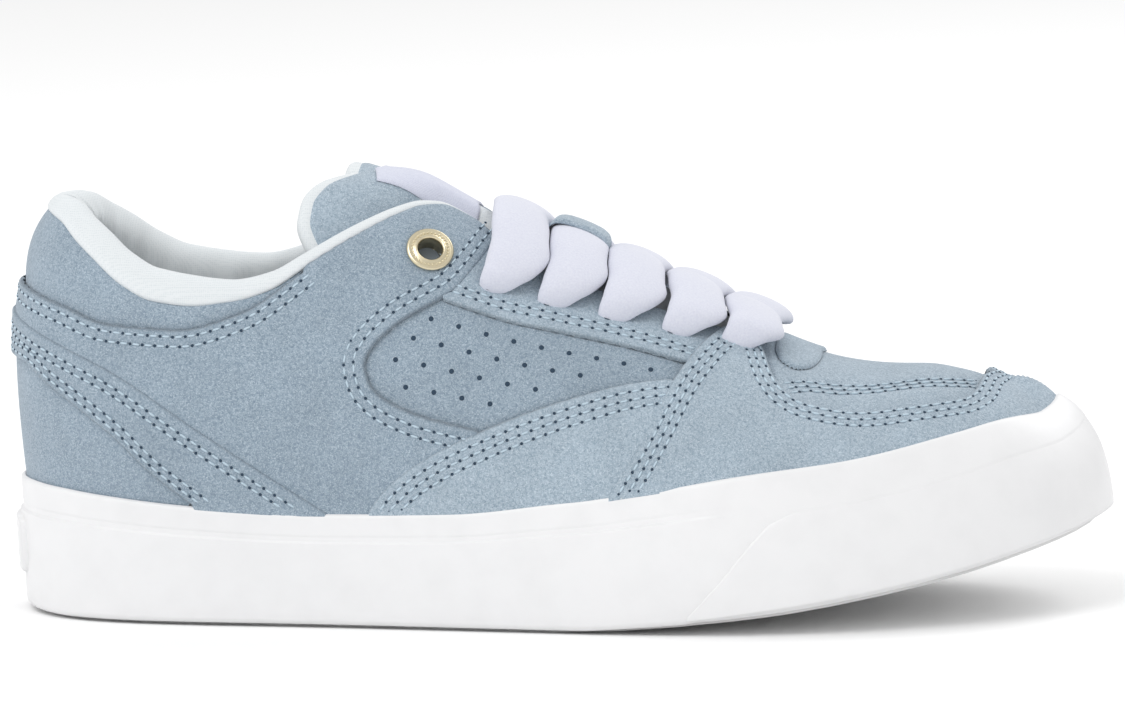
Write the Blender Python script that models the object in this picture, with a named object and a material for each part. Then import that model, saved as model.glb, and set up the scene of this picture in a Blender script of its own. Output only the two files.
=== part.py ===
"""Skateboarding shoe for the right foot, empty, standing on its sole.

Frame: x runs from the heel to the toe, y from the outer side (negative) to the inner side,
z is up. Metres. Everything on the upper is drawn on the last, a closed surface read with two
numbers: row, which counts the sections from the heel round the outer side to the toe and back
along the inner side, and wall, which runs from 0 at the sole to 1 on the ridge over the foot.
"""
import math

import bmesh
import bpy
import numpy as np
from mathutils import Matrix, Vector
from mathutils.geometry import delaunay_2d_cdt

# Driving sizes of the shoe
LENGTH = 0.289
BALL_WIDTH = 0.104
HEEL_HEIGHT = 0.112
SOLE_RISE = 0.014
FOXING_BASE = 0.0042
SHELL = 0.0022
GAP = 0.00035
SEAM = 0.0002

# The last. x and ridge_x are shares of LENGTH, outer and inner are half widths as shares of
# BALL_WIDTH, ridge_z is a share of HEEL_HEIGHT, ridge_y is in millimetres. Lean, rise and crown
# shape the wall line, top is its slope in degrees where it meets the ridge.
SECTION_COLUMNS = ("x", "outer", "inner", "ridge_x", "ridge_z", "ridge_y",
                   "lean", "rise", "crown", "top")
SECTIONS = (
    (0.008, 0.000, 0.000, 0.120, 1.120, 0.0, 0.04, 0.42, 1.60, 22),
    (0.026, 0.165, 0.165, 0.122, 1.120, 0.0, 0.05, 0.42, 1.55, 22),
    (0.080, 0.285, 0.280, 0.140, 1.120, 0.0, 0.07, 0.42, 1.40, 22),
    (0.165, 0.345, 0.335, 0.190, 1.120, 0.0, 0.08, 0.42, 1.25, 20),
    (0.270, 0.375, 0.340, 0.275, 1.088, 0.0, 0.06, 0.42, 1.15, 18),
    (0.380, 0.415, 0.340, 0.360, 1.038, 0.0, 0.04, 0.42, 1.00, 12),
    (0.490, 0.460, 0.365, 0.455, 0.908, 1.0, 0.03, 0.42, 0.74, 4),
    (0.600, 0.500, 0.430, 0.555, 0.795, 2.0, 0.02, 0.45, 0.55, 0),
    (0.700, 0.505, 0.490, 0.655, 0.680, 4.0, 0.03, 0.50, 0.54, 0),
    (0.790, 0.455, 0.500, 0.745, 0.583, 5.5, 0.04, 0.52, 0.55, 0),
    (0.870, 0.370, 0.460, 0.820, 0.560, 6.5, 0.00, 0.50, 0.56, 0),
    (0.935, 0.262, 0.402, 0.872, 0.543, 7.0, -0.15, 0.46, 0.50, 3),
    (0.980, 0.130, 0.270, 0.900, 0.514, 7.3, -0.32, 0.43, 0.44, 2),
    (1.000, -0.070, 0.070, 0.908, 0.509, 7.3, -0.40, 0.42, 0.42, 3),
)
TOE = len(SECTIONS) - 1
LOOP = 2 * TOE

# Underside of the sole: share of LENGTH, height in millimetres. Heel and forefoot lie flat.
SPRING = ((0.00, 1.2), (0.03, 0.3), (0.06, 0.0), (0.53, 0.0), (0.585, 1.0), (0.65, 2.8),
          (0.72, 5.2), (0.80, 9.0), (0.875, 13.5), (0.92, 17.0), (0.965, 20.8), (1.00, 24.0))

# Edges on the last, each a table of (row, wall) for the outer side; the inner side mirrors it.
COLLAR_SEAM = ((0.0, 0.735), (0.6, 0.730), (1.2, 0.712), (1.75, 0.658), (2.05, 0.620),
               (2.45, 0.560), (2.8, 0.524), (3.15, 0.515), (3.5, 0.528), (3.85, 0.562),
               (4.1, 0.610), (4.35, 0.660), (4.7, 0.732), (4.95, 0.790), (5.2, 0.850),
               (5.45, 0.885), (5.65, 0.880), (5.87, 0.845), (6.1, 0.795), (6.5, 0.770),
               (7.0, 0.772), (7.5, 0.790), (7.9, 0.815), (8.1, 0.860), (8.2, 0.910),
               (8.26, 0.955), (8.3, 1.000))
FOXING_TOP = ((0.0, 0.155), (0.9, 0.155), (1.64, 0.151), (2.23, 0.142), (3.07, 0.127),
              (4.1, 0.118), (4.64, 0.121), (5.35, 0.135), (6.26, 0.180), (6.76, 0.202),
              (7.46, 0.235), (8.41, 0.294), (9.52, 0.368), (10.2, 0.418), (10.86, 0.477),
              (11.74, 0.546), (12.4, 0.585), (13.0, 0.600))
QUARTER_TOP = ((0.0, 0.556), (0.6, 0.546), (1.7, 0.512), (2.38, 0.472), (3.05, 0.460),
               (3.61, 0.502), (4.02, 0.580), (4.12, 0.602))
STRAP_TOP = ((0.0, 0.492), (0.66, 0.480), (1.5, 0.447), (2.29, 0.392), (3.27, 0.268),
             (4.35, 0.119))
STRAP_LOW = ((0.0, 0.392), (0.98, 0.385), (1.57, 0.345), (1.97, 0.308), (2.41, 0.252),
             (2.78, 0.186), (3.17, 0.127))
WINDOW_FRONT = ((5.30, 0.591), (4.90, 0.500), (4.72, 0.448), (4.66, 0.415), (4.70, 0.375),
                (4.86, 0.343), (5.20, 0.322), (5.62, 0.316))
QUARTER_FRONT = ((5.87, 0.845), (5.65, 0.720), (5.43, 0.625), (5.30, 0.591))
SIDE_PANEL_REAR = ((4.64, 0.121), (4.78, 0.165), (4.94, 0.202), (5.25, 0.258), (5.62, 0.316))
SIDE_PANEL_TOP = ((5.62, 0.316), (6.0, 0.373), (6.38, 0.424), (6.85, 0.480), (7.30, 0.525))
WINDOW_TOP = ((5.30, 0.591), (5.81, 0.588), (6.33, 0.592), (6.85, 0.593), (7.43, 0.592))
MUDGUARD_REAR = ((6.63, 0.193), (6.96, 0.337), (7.30, 0.525), (7.43, 0.592), (7.66, 0.712),
                 (7.86, 0.812))
MUDGUARD_INNER = ((8.10, 0.860), (8.20, 0.756), (8.24, 0.660), (8.33, 0.592), (8.52, 0.556),
                  (9.00, 0.549), (9.61, 0.571), (10.33, 0.617), (10.6, 0.680), (10.8, 0.775),
                  (11.0, 0.865), (11.2, 0.925), (11.5, 1.000))
TAB_EDGE = ((8.44, 1.000), (8.40, 0.900), (8.36, 0.820), (8.38, 0.768), (8.50, 0.745),
            (8.66, 0.775), (8.80, 0.850), (8.88, 0.930), (8.92, 1.000))

# Thickness of the overlays, outside the shell
LEVEL = {"eyestay": 0.0011, "counter": 0.0009, "quarter": 0.0014, "side": 0.0017,
         "strap": 0.0018, "mudguard": 0.0020, "tab": 0.0016}

# Holes and eyelets: row and wall of each lace hole, row where its bar crosses the ridge, and
# how many rows a bar swings towards the toe beside its hole
LACE_ROWS = ((5.73, 0.652, 6.08), (6.24, 0.657, 6.62), (6.77, 0.661, 7.12),
             (7.33, 0.678, 7.63), (7.86, 0.710, 8.16))
LACE_SWAY = 0.12
LACE_WIDTH = 0.0146
LACE_THICK = 0.0044
LACE_REST = (0.0028, 0.0023, 0.0023, 0.00255, 0.0028)
LACE_HOLE = 0.0021
STRIP_SEAT = 0.0009
KEEPER_BAR = 1
METAL_EYELET = (5.22, 0.706)
EYELET_FLANGE = 0.0062
EYELET_BORE = 0.0032
EYELET_BARREL = 0.0038
EYELET_HOLE = 0.0043

# Collar padding by row: roll height over the seam, thickness and depth below it, millimetres
PADDING_COLUMNS = ("row", "roll", "thick", "depth")
PADDING = ((0.0, 5.5, 9.5, 30), (1.2, 7.0, 10.0, 30), (2.3, 9.5, 11.0, 28), (3.1, 8.5, 10.5, 26),
           (3.6, 4.8, 7.0, 24), (4.1, 2.6, 4.0, 18), (4.7, 1.8, 4.2, 9), (5.0, 1.7, 4.1, 5),
           (5.7, 1.5, 4.1, 5))
PADDING_END = 5.7

# Tongue: side edge and top edge, (row, wall) per side
TONGUE_SIDE = ((4.60, 0.590), (5.0, 0.620), (5.6, 0.690), (6.2, 0.690), (7.0, 0.690),
               (7.8, 0.720), (8.3, 0.760), (8.62, 0.840))
TONGUE_TOP_OUTER = ((4.60, 0.590), (4.24, 0.630), (4.08, 0.690), (4.01, 0.750), (4.03, 0.810),
                    (4.14, 0.870), (4.30, 0.930), (4.44, 1.000))
TONGUE_TOP_INNER = ((4.60, 0.590), (4.46, 0.630), (4.38, 0.700), (4.35, 0.780), (4.35, 0.860),
                    (4.39, 0.930), (4.44, 1.000))
TONGUE_SAG = 0.0056
TONGUE_LOBE = 0.0026
TONGUE_FOOT = 8.62
TONGUE_THICK = 0.0058
LABEL_ROWS = (4.76, 5.74)
LABEL_WALL = 0.932

# Finishes: base colour, roughness, metallic
FINISHES = {
    "suede": ((0.33, 0.42, 0.50), 0.92, 0.0),
    "suede_pale": ((0.42, 0.50, 0.57), 0.92, 0.0),
    "lining": ((0.76, 0.79, 0.80), 0.90, 0.0),
    "rubber": ((0.87, 0.87, 0.88), 0.55, 0.0),
    "tread": ((0.85, 0.85, 0.85), 0.60, 0.0),
    "webbing": ((0.75, 0.77, 0.87), 0.85, 0.0),
    "metal": ((0.66, 0.55, 0.38), 0.30, 1.0),
    "foam": ((0.80, 0.82, 0.84), 0.90, 0.0),
}


class Curve:
    """Smooth curve through a table of (position, value), monotone between its points."""

    def __init__(self, table):
        self.x = np.array([row[0] for row in table], float)
        self.y = np.array([row[1] for row in table], float)
        step = np.diff(self.x)
        rate = np.diff(self.y) / step
        slope = np.zeros(len(self.x))
        for i in range(1, len(self.x) - 1):
            if rate[i - 1] * rate[i] > 0:
                first = 2 * step[i] + step[i - 1]
                second = step[i] + 2 * step[i - 1]
                slope[i] = (first + second) / (first / rate[i - 1] + second / rate[i])
        slope[0] = rate[0]
        slope[-1] = rate[-1]
        self.step = step
        self.slope = slope

    def __call__(self, x):
        x = np.asarray(x, float)
        k = np.clip(np.searchsorted(self.x, x) - 1, 0, len(self.x) - 2)
        h = self.step[k]
        t = np.clip((x - self.x[k]) / h, 0.0, 1.0)
        start = (2 * t**3 - 3 * t**2 + 1) * self.y[k] + (t**3 - 2 * t**2 + t) * h * self.slope[k]
        end = (-2 * t**3 + 3 * t**2) * self.y[k + 1] + (t**3 - t**2) * h * self.slope[k + 1]
        beyond = np.maximum(x - self.x[-1], 0.0) * self.slope[-1]
        before = np.minimum(x - self.x[0], 0.0) * self.slope[0]
        return start + end + beyond + before


class LoopCurve:
    """Smooth closed curve with one value, or set of values, per row of the loop."""

    def __init__(self, values):
        y = np.array(values, float)
        n = len(y)
        matrix = 4 * np.eye(n) + np.roll(np.eye(n), 1, axis=1) + np.roll(np.eye(n), -1, axis=1)
        right = 3 * (np.roll(y, -1, axis=0) - np.roll(y, 1, axis=0))
        self.n = n
        self.y = y
        self.slope = np.linalg.solve(matrix, right)

    def __call__(self, s):
        s = np.asarray(s, float) % self.n
        k = np.floor(s).astype(int) % self.n
        t = (s - np.floor(s))[..., None]
        after = (k + 1) % self.n
        start = (2 * t**3 - 3 * t**2 + 1) * self.y[k] + (t**3 - 2 * t**2 + t) * self.slope[k]
        end = (-2 * t**3 + 3 * t**2) * self.y[after] + (t**3 - t**2) * self.slope[after]
        return start + end


def column(row, name):
    """One named value of a section."""
    return SECTIONS[row][SECTION_COLUMNS.index(name)]


def round_the_loop(value):
    """Values for every row of the loop: outer side out to the toe, inner side back."""
    outer = [value(row, -1) for row in range(TOE + 1)]
    inner = [value(row, 1) for row in range(TOE - 1, 0, -1)]
    return outer + inner


def outline_value(row, side):
    half = column(row, "inner") if side > 0 else -column(row, "outer")
    return [column(row, "x") * LENGTH, half * BALL_WIDTH]


def ridge_value(row, side):
    return [column(row, "ridge_x") * LENGTH, column(row, "ridge_y") * 0.001,
            column(row, "ridge_z") * HEEL_HEIGHT]


def wall_value(row, side):
    return [column(row, "lean"), column(row, "rise"), column(row, "crown"),
            math.radians(column(row, "top"))]


OUTLINE = LoopCurve(round_the_loop(outline_value))
RIDGE = LoopCurve(round_the_loop(ridge_value))
WALL = LoopCurve(round_the_loop(wall_value))
UNDERSIDE = Curve([(share * LENGTH, height * 0.001) for share, height in SPRING])
SEAM_WALL = Curve(COLLAR_SEAM)
FOXING_WALL = Curve(FOXING_TOP)


def points(*parts):
    """Join coordinate arrays into points."""
    return np.stack(np.broadcast_arrays(*parts), -1)


def unit(vectors):
    length = np.linalg.norm(vectors, axis=-1, keepdims=True)
    return vectors / np.maximum(length, 1e-12)


def outer_row(s):
    """Row folded onto the outer side, since both sides share the edge tables."""
    s = np.asarray(s, float) % LOOP
    return np.minimum(s, LOOP - s)


def plan(s, inset=0.0):
    """Outline of the sole, moved in by inset."""
    here = OUTLINE(s)
    along = OUTLINE(np.asarray(s) + 1e-3) - OUTLINE(np.asarray(s) - 1e-3)
    out = unit(points(along[..., 1], -along[..., 0]))
    return here - out * np.asarray(inset)[..., None], out


def last(s, v):
    """Point of the last at a row and a share up its wall line, a cubic curve."""
    s, v = np.broadcast_arrays(np.asarray(s, float), np.asarray(v, float))
    foot, out = plan(s, FOXING_BASE)
    base = points(foot[..., 0], foot[..., 1], UNDERSIDE(foot[..., 0]) + SOLE_RISE)
    ridge = RIDGE(s)
    lean, rise, crown, top = np.moveaxis(WALL(s), -1, 0)
    height = ridge[..., 2] - base[..., 2]
    span = ridge[..., :2] - base[..., :2]
    width = np.linalg.norm(span, axis=-1)
    way = unit(span)
    row = np.clip(outer_row(s), 0.02, TOE - 0.02)
    turn = RIDGE(row + 1e-3) - RIDGE(row - 1e-3)
    slope = np.clip(turn[..., 2] / turn[..., 0], -2.0, 2.0) * np.clip(row / 4.0, 0.0, 1.0) ** 2
    low = base + points(out[..., 0] * lean * height, out[..., 1] * lean * height, rise * height)
    reach = crown * width
    climb = np.cos(top) ** 2 * slope * way[..., 0] + np.sin(top)
    high = ridge - reach[..., None] * points(way[..., 0] * np.cos(top),
                                             way[..., 1] * np.cos(top), climb)
    v = v[..., None]
    return ((1 - v) ** 3 * base + 3 * (1 - v) ** 2 * v * low
            + 3 * (1 - v) * v**2 * high + v**3 * ridge)


def outward(s, v):
    """Outward normal of the last; on the ridge both sides share one."""
    step = 2e-3

    def one_side(row):
        level = np.minimum(v, 0.985)
        along = last(row + step, level) - last(row - step, level)
        up = last(row, np.minimum(v + step, 1.0)) - last(row, np.maximum(v - step, 0.0))
        return unit(np.cross(along, up))

    s, v = np.broadcast_arrays(np.asarray(s, float), np.asarray(v, float))
    here = one_side(s)
    there = one_side(LOOP - s)
    on_ridge = (v > 1 - 1e-6)[..., None]
    return unit(np.where(on_ridge, here + there, here))


def on_last(s, v, out):
    """Point at a distance outside the last, negative inside."""
    return last(s, v) + outward(s, v) * np.asarray(out)[..., None]


def opening(s):
    """Wall share where the shell ends: the collar and throat edge, or the ridge in front."""
    row = outer_row(s)
    return np.where(row < COLLAR_SEAM[-1][0], np.minimum(SEAM_WALL(row), 1.0), 1.0)


def toe_seat(s):
    """Share of the recess in the side band where the toe strip sits."""
    share = np.clip((outer_row(s) - 7.1) / 0.8, 0.0, 1.0)
    return share * share * (3 - 2 * share)


def foxing_face(s, h, out=0.0):
    """Outer face of the side band, h from 0 at the bottom to 1 at its top edge."""
    s, h = np.broadcast_arrays(np.asarray(s, float), np.asarray(h, float))
    row = outer_row(s)
    foot, away = plan(s, 0.0)
    floor = UNDERSIDE(foot[..., 0]) + 0.0010
    low = points(foot[..., 0], foot[..., 1], floor)
    high = on_last(s, FOXING_WALL(row), 0.0034)
    tall = high[..., 2] - floor
    toe = np.clip((row - 10.0) / 3.0, 0.0, 1.0)
    belly = 0.0006 - 0.0026 * toe
    mid = points(foot[..., 0] + away[..., 0] * belly, foot[..., 1] + away[..., 1] * belly,
                 floor + (0.60 + 0.22 * toe) * tall)
    h = h[..., None]
    face = (1 - h) ** 2 * low + 2 * h * (1 - h) * mid + h**2 * high
    up = 2 * (1 - h) * (mid - low) + 2 * h * (high - mid)
    side = points(-away[..., 1], away[..., 0], np.zeros_like(row))
    normal = unit(np.cross(side, up))
    normal = normal * np.sign(np.sum(normal[..., :2] * away, -1))[..., None]
    return face + normal * np.asarray(out)[..., None]


def finish(name):
    """Material of one finish, made once."""
    made = bpy.data.materials.get(name)
    if made:
        return made
    colour, roughness, metallic = FINISHES[name]
    material = bpy.data.materials.new(name)
    material.use_nodes = True
    shader = material.node_tree.nodes["Principled BSDF"]
    shader.inputs["Base Color"].default_value = (*colour, 1.0)
    shader.inputs["Roughness"].default_value = roughness
    shader.inputs["Metallic"].default_value = metallic
    material.diffuse_color = (*colour, 1.0)
    return material


def build_object(name, vertices, faces, material):
    """Object from points and faces, welded, with its faces turned outwards."""
    mesh = bpy.data.meshes.new(name)
    mesh.from_pydata([tuple(map(float, p)) for p in vertices], [], faces)
    work = bmesh.new()
    work.from_mesh(mesh)
    bmesh.ops.remove_doubles(work, verts=work.verts, dist=1e-6)
    bmesh.ops.recalc_face_normals(work, faces=work.faces)
    work.to_mesh(mesh)
    work.free()
    mesh.materials.append(finish(material))
    item = bpy.data.objects.new(name, mesh)
    bpy.context.scene.collection.objects.link(item)
    return item


class Sheet:
    """Triangles drawn in two numbers, then made a slab between two surfaces."""

    def __init__(self, fold):
        self.fold = fold
        self.index = {}
        self.places = []
        self.faces = []

    def vertex(self, p, q):
        if self.fold:
            p = p % LOOP
            if q > 1 - 1e-6:
                q = 1.0
                p = min(p, LOOP - p)
        key = (round(p, 5), round(q, 5))
        if key not in self.index:
            self.index[key] = len(self.places)
            self.places.append(key)
        return self.index[key]

    def add_face(self, corners):
        """Add a face; two that fold onto each other at the ridge cancel out."""
        ring = []
        for p, q in corners:
            found = self.vertex(p, q)
            if found not in ring:
                ring.append(found)
        if len(ring) < 3:
            return
        twin = [face for face in self.faces if set(face) == set(ring)]
        if twin:
            self.faces.remove(twin[0])
        else:
            self.faces.append(ring)

    def add_grid(self, rows):
        """Rows of places, each row as long as the next."""
        for near, far in zip(rows[:-1], rows[1:]):
            for k in range(len(near) - 1):
                self.add_face((near[k], far[k], far[k + 1], near[k + 1]))

    def add_region(self, outline, inside, scale):
        """Triangulate a closed outline with a few places inside it."""
        flat = [(p * scale[0], q * scale[1]) for p, q in outline]
        kept = [place for place in inside
                if well_inside((place[0] * scale[0], place[1] * scale[1]), flat)]
        seeds = [Vector(p) for p in flat]
        seeds += [Vector((p * scale[0], q * scale[1])) for p, q in kept]
        known = list(outline) + kept
        result = delaunay_2d_cdt(seeds, [], [list(range(len(outline)))], 1, 1e-7)
        where = []
        for spot, sources in zip(result[0], result[3]):
            where.append(known[sources[0]] if sources else (spot[0] / scale[0],
                                                             spot[1] / scale[1]))
        for face in result[2]:
            self.add_face([where[k] for k in face])

    def slab(self, name, under, over, material):
        """Close the sheet between the surfaces under and over."""
        p = np.array([place[0] for place in self.places])
        q = np.array([place[1] for place in self.places])
        top = over(p, q)
        bottom = under(p, q)
        count = len(self.places)
        edges = {}
        for face in self.faces:
            for a, b in zip(face, face[1:] + face[:1]):
                edges[(a, b)] = edges.get((a, b), 0) + 1
        faces = [list(face) for face in self.faces]
        faces += [[count + k for k in reversed(face)] for face in self.faces]
        faces += [[b, a, a + count, b + count] for a, b in edges if (b, a) not in edges]
        return build_object(name, np.concatenate([top, bottom]), faces, material)


def well_inside(spot, flat, margin=2.6):
    """Whether a flat place lies inside an outline, away from its edge."""
    x, y = spot
    within = False
    for (x1, y1), (x2, y2) in zip(flat, flat[1:] + flat[:1]):
        if (y1 > y) != (y2 > y) and x < (x2 - x1) * (y - y1) / (y2 - y1) + x1:
            within = not within
        run = (x2 - x1) ** 2 + (y2 - y1) ** 2
        t = min(1.0, max(0.0, ((x - x1) * (x2 - x1) + (y - y1) * (y2 - y1)) / max(run, 1e-12)))
        if math.hypot(x - x1 - t * (x2 - x1), y - y1 - t * (y2 - y1)) < margin:
            return False
    return within


ROW_SIZE = 22.0
WALL_SIZE = 95.0


def thin_out(table, spacing):
    """Places along a table's line at an even spacing, in millimetres, ends kept."""
    size = np.array([ROW_SIZE, WALL_SIZE])
    spots = np.array(table, float)
    run = np.concatenate([[0.0], np.cumsum(np.linalg.norm(np.diff(spots * size, axis=0), axis=1))])
    count = max(1, int(round(run[-1] / spacing)))
    rows = Curve(list(zip(run, spots[:, 0])))
    walls = Curve(list(zip(run, spots[:, 1])))
    return [(float(rows(d)), float(walls(d))) for d in np.linspace(0.0, run[-1], count + 1)]


def between(table, start, end):
    """Part of an edge table from one row to another, with both ends on its curve."""
    line = Curve(table)
    low, high = min(start, end), max(start, end)
    rows = [low] + [row for row, wall in table if low + 0.05 < row < high - 0.05] + [high]
    part = [(row, float(line(row))) for row in rows]
    return part if start <= end else part[::-1]


def back(table):
    return list(reversed(table))


def chain(pieces, spacing=6.5):
    """Closed outline from edge tables laid end to end."""
    outline = []
    for piece in pieces:
        line = thin_out(piece, spacing)
        if outline and math.dist(outline[-1], line[0]) < 0.02:
            line = line[1:]
        outline += line
    if math.dist(outline[0], outline[-1]) < 0.02:
        outline.pop()
    return outline


def shrink(outline, amount):
    """Outline moved inwards by a distance on the last; its ridge stretch stays."""
    rows = np.array([p for p, q in outline])
    walls = np.array([q for p, q in outline])
    along = np.linalg.norm(last(rows + 1e-3, walls) - last(rows - 1e-3, walls), axis=-1) / 2e-3
    lower = np.maximum(walls - 1e-3, 0.0)
    up = np.linalg.norm(last(rows, lower + 1e-3) - last(rows, lower), axis=-1) / 1e-3
    flat = np.stack([rows, walls], -1)
    area = 0.5 * np.sum(rows * np.roll(walls, -1) - np.roll(rows, -1) * walls)
    sense = 1.0 if area > 0 else -1.0
    moved = []
    for k, (p, q) in enumerate(outline):
        scale = np.array([max(along[k], 0.004), max(up[k], 0.02)])
        before = (flat[k] - flat[k - 1]) * scale
        after = (flat[(k + 1) % len(flat)] - flat[k]) * scale
        normals = [unit(np.array([-d[1], d[0]])) * sense for d in (before, after)]
        mean = unit(normals[0] + normals[1])
        reach = amount / max(0.5, float(mean @ normals[0]))
        if q > 1 - 1e-6:
            moved.append((p, q))
            continue
        step = mean * reach / scale
        moved.append((float(p + step[0]), float(min(q + step[1], 0.9999))))
    return moved


def mirrored(table):
    """The same edge on the inner side."""
    return [(LOOP - row, wall) for row, wall in table]


def turned(table):
    """The same edge on the inner side, with rows counted back from the heel."""
    return [(-row, wall) for row, wall in table]


def lattice_rows():
    """Rows of the shell's columns, closer together round the heel and the toe."""
    rows = [0.0, 0.35, 0.7, 1.05, 1.4, 1.8, 2.2, 2.7, 3.2, 3.7, 4.2, 4.7, 5.1, 5.45, 5.7]
    rows += [6.2, 6.7, 7.2, 7.7, 8.0, 8.14, 8.24, 8.3, 8.7, 9.2, 9.7, 10.2, 10.7, 11.2, 11.65]
    rows += [12.1, 12.55]
    rows += [float(TOE)]
    inner = [LOOP - row for row in reversed(rows[1:-1])]
    return rows + inner


WALL_STEPS = 7


def lattice():
    """Places of the shell, where the panels put their inside points too."""
    return [(row, float(opening(row)) * k / WALL_STEPS)
            for row in lattice_rows() for k in range(1, WALL_STEPS)]


def lattice_near(centre):
    """Lattice with its rows counted so that they run on past a centre row."""
    return [((row - centre + LOOP / 2) % LOOP + centre - LOOP / 2, wall)
            for row, wall in lattice()]


def overlay(name, outline, thick, material, centre=6.0):
    """Panel over the shell: its outline pulled in by the seam gap, laid on the last."""
    sheet = Sheet(fold=True)
    sheet.add_region(shrink(outline, SEAM), lattice_near(centre), (ROW_SIZE, WALL_SIZE))
    return sheet.slab(name, lambda s, v: on_last(s, v, GAP),
                      lambda s, v: on_last(s, v, GAP + thick), material)


def both_sides(name, outline, thick, material):
    """The same panel on the outer and the inner side."""
    overlay(name + "_outer", outline, thick, material)
    overlay(name + "_inner", mirrored(outline), thick, material, centre=LOOP - 6.0)


def tube(name, rings, material, closed):
    """Sweep of section rings, joined in a loop or capped at both ends."""
    size = len(rings[0])
    vertices = [p for ring in rings for p in ring]
    faces = []
    count = len(rings)
    for k in range(count if closed else count - 1):
        for j in range(size):
            a = k * size + j
            b = k * size + (j + 1) % size
            c = ((k + 1) % count) * size + (j + 1) % size
            d = ((k + 1) % count) * size + j
            faces.append([a, b, c, d])
    if not closed:
        faces.append(list(range(size)))
        faces.append([(count - 1) * size + j for j in reversed(range(size))])
    return build_object(name, vertices, faces, material)


def cutter(name, rings_list):
    """Hidden tool of several closed drums, for boring holes."""
    vertices = []
    faces = []
    for rings in rings_list:
        start = len(vertices)
        size = len(rings[0])
        for ring in rings:
            vertices += list(ring)
        for j in range(size):
            faces.append([start + j, start + (j + 1) % size,
                          start + size + (j + 1) % size, start + size + j])
        faces.append([start + j for j in reversed(range(size))])
        faces.append([start + size + j for j in range(size)])
    tool = build_object(name, vertices, faces, "rubber")
    tool.hide_render = True
    tool.display_type = "WIRE"
    return tool


def bore(item, tool):
    """Cut a tool's drums out of an object."""
    step = item.modifiers.new("Holes", "BOOLEAN")
    step.operation = "DIFFERENCE"
    step.solver = "EXACT"
    step.object = tool


def place_frame(s, v):
    """Centre, outward direction and two directions along the last at a place."""
    centre = last(s, v)
    out = outward(s, v)
    up = unit(last(s, v + 1e-3) - last(s, v - 1e-3))
    up = unit(up - out * np.sum(out * up))
    return centre, out, np.cross(up, out), up


def drum(s, v, radius, low, high, sides):
    """Two rings of a drum across the shell."""
    centre, out, side, up = place_frame(s, v)
    rings = []
    for out_by in (low, high):
        ring = [centre + out * out_by + side * radius * math.cos(math.tau * k / sides)
                + up * radius * math.sin(math.tau * k / sides) for k in range(sides)]
        rings.append(ring)
    return rings


def build_upper():
    """The hollow shell: walls on the last, open at the collar, the throat and underneath."""
    rows = lattice_rows()
    sheet = Sheet(fold=True)
    grid = [[(row, float(opening(row)) * k / WALL_STEPS) for k in range(WALL_STEPS + 1)]
            for row in rows]
    sheet.add_grid(grid + [grid[0]])

    def lining_side(s, v):
        inner = on_last(s, v, -SHELL)
        inner[..., 2] = np.maximum(inner[..., 2], UNDERSIDE(inner[..., 0]) + SOLE_RISE)
        return inner

    return sheet.slab("upper", lining_side, lambda s, v: on_last(s, v, 0.0), "suede")


def build_panels():
    """Overlays of the upper, cut from the last between its seams."""
    quarter = chain([back(between(QUARTER_TOP, 0.02, 4.12)), [(0.02, 0.556), (0.02, 0.492)],
                     between(STRAP_TOP, 0.02, 4.35), between(FOXING_TOP, 4.35, 4.64),
                     SIDE_PANEL_REAR, back(WINDOW_FRONT), back(QUARTER_FRONT),
                     between(COLLAR_SEAM, 5.87, 4.12)])
    both_sides("quarter", quarter, LEVEL["quarter"], "suede")
    eyestay = chain([between(COLLAR_SEAM, 5.87, 7.86), back(between(MUDGUARD_REAR, 7.43, 7.86)),
                     back(WINDOW_TOP), back(QUARTER_FRONT)])
    both_sides("eyestay", eyestay, LEVEL["eyestay"], "suede_pale")
    side = chain([between(FOXING_TOP, 4.64, 6.63), between(MUDGUARD_REAR, 6.63, 7.30),
                  back(SIDE_PANEL_TOP), back(SIDE_PANEL_REAR)])
    both_sides("side_panel", side, LEVEL["side"], "suede")
    low = between(STRAP_LOW, 0.0, 3.17)
    top = between(STRAP_TOP, 0.0, 4.35)
    ahead = between(FOXING_TOP, 3.17, 4.35)
    behind = between(FOXING_TOP, 0.0, 3.17)
    strap = chain([back(turned(ahead)), back(turned(low)), low, ahead, back(top), turned(top)])
    overlay("heel_strap", strap, LEVEL["strap"], "suede", centre=0.0)
    counter = chain([back(turned(behind)), behind, back(low), turned(low)])
    overlay("heel_counter", counter, LEVEL["counter"], "suede", centre=0.0)
    foot = between(FOXING_TOP, 6.63, 13.0)
    throat = between(COLLAR_SEAM, 7.86, 8.10)
    guard = chain([foot, back(mirrored(foot)), mirrored(MUDGUARD_REAR), mirrored(throat),
                   mirrored(MUDGUARD_INNER), [(LOOP - 11.5, 1.0), (11.5, 1.0)],
                   back(MUDGUARD_INNER), back(throat), back(MUDGUARD_REAR)])
    overlay("mudguard", guard, LEVEL["mudguard"], "suede_pale", centre=13.0)
    build_tab()


def build_tab():
    """Rounded tab over the vamp where the throat ends."""
    sheet = Sheet(fold=True)
    half = chain([TAB_EDGE, [(8.92, 1.0), (8.68, 1.0), (8.44, 1.0)]], spacing=4.0)
    inside = [(8.6, 0.82), (8.6, 0.92)]
    half = shrink(half, SEAM)
    sheet.add_region(half, inside, (ROW_SIZE, WALL_SIZE))
    sheet.add_region(mirrored(half), mirrored(inside), (ROW_SIZE, WALL_SIZE))
    sheet.slab("throat_tab", lambda s, v: on_last(s, v, GAP),
               lambda s, v: on_last(s, v, GAP + LEVEL["tab"]), "suede_pale")


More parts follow.
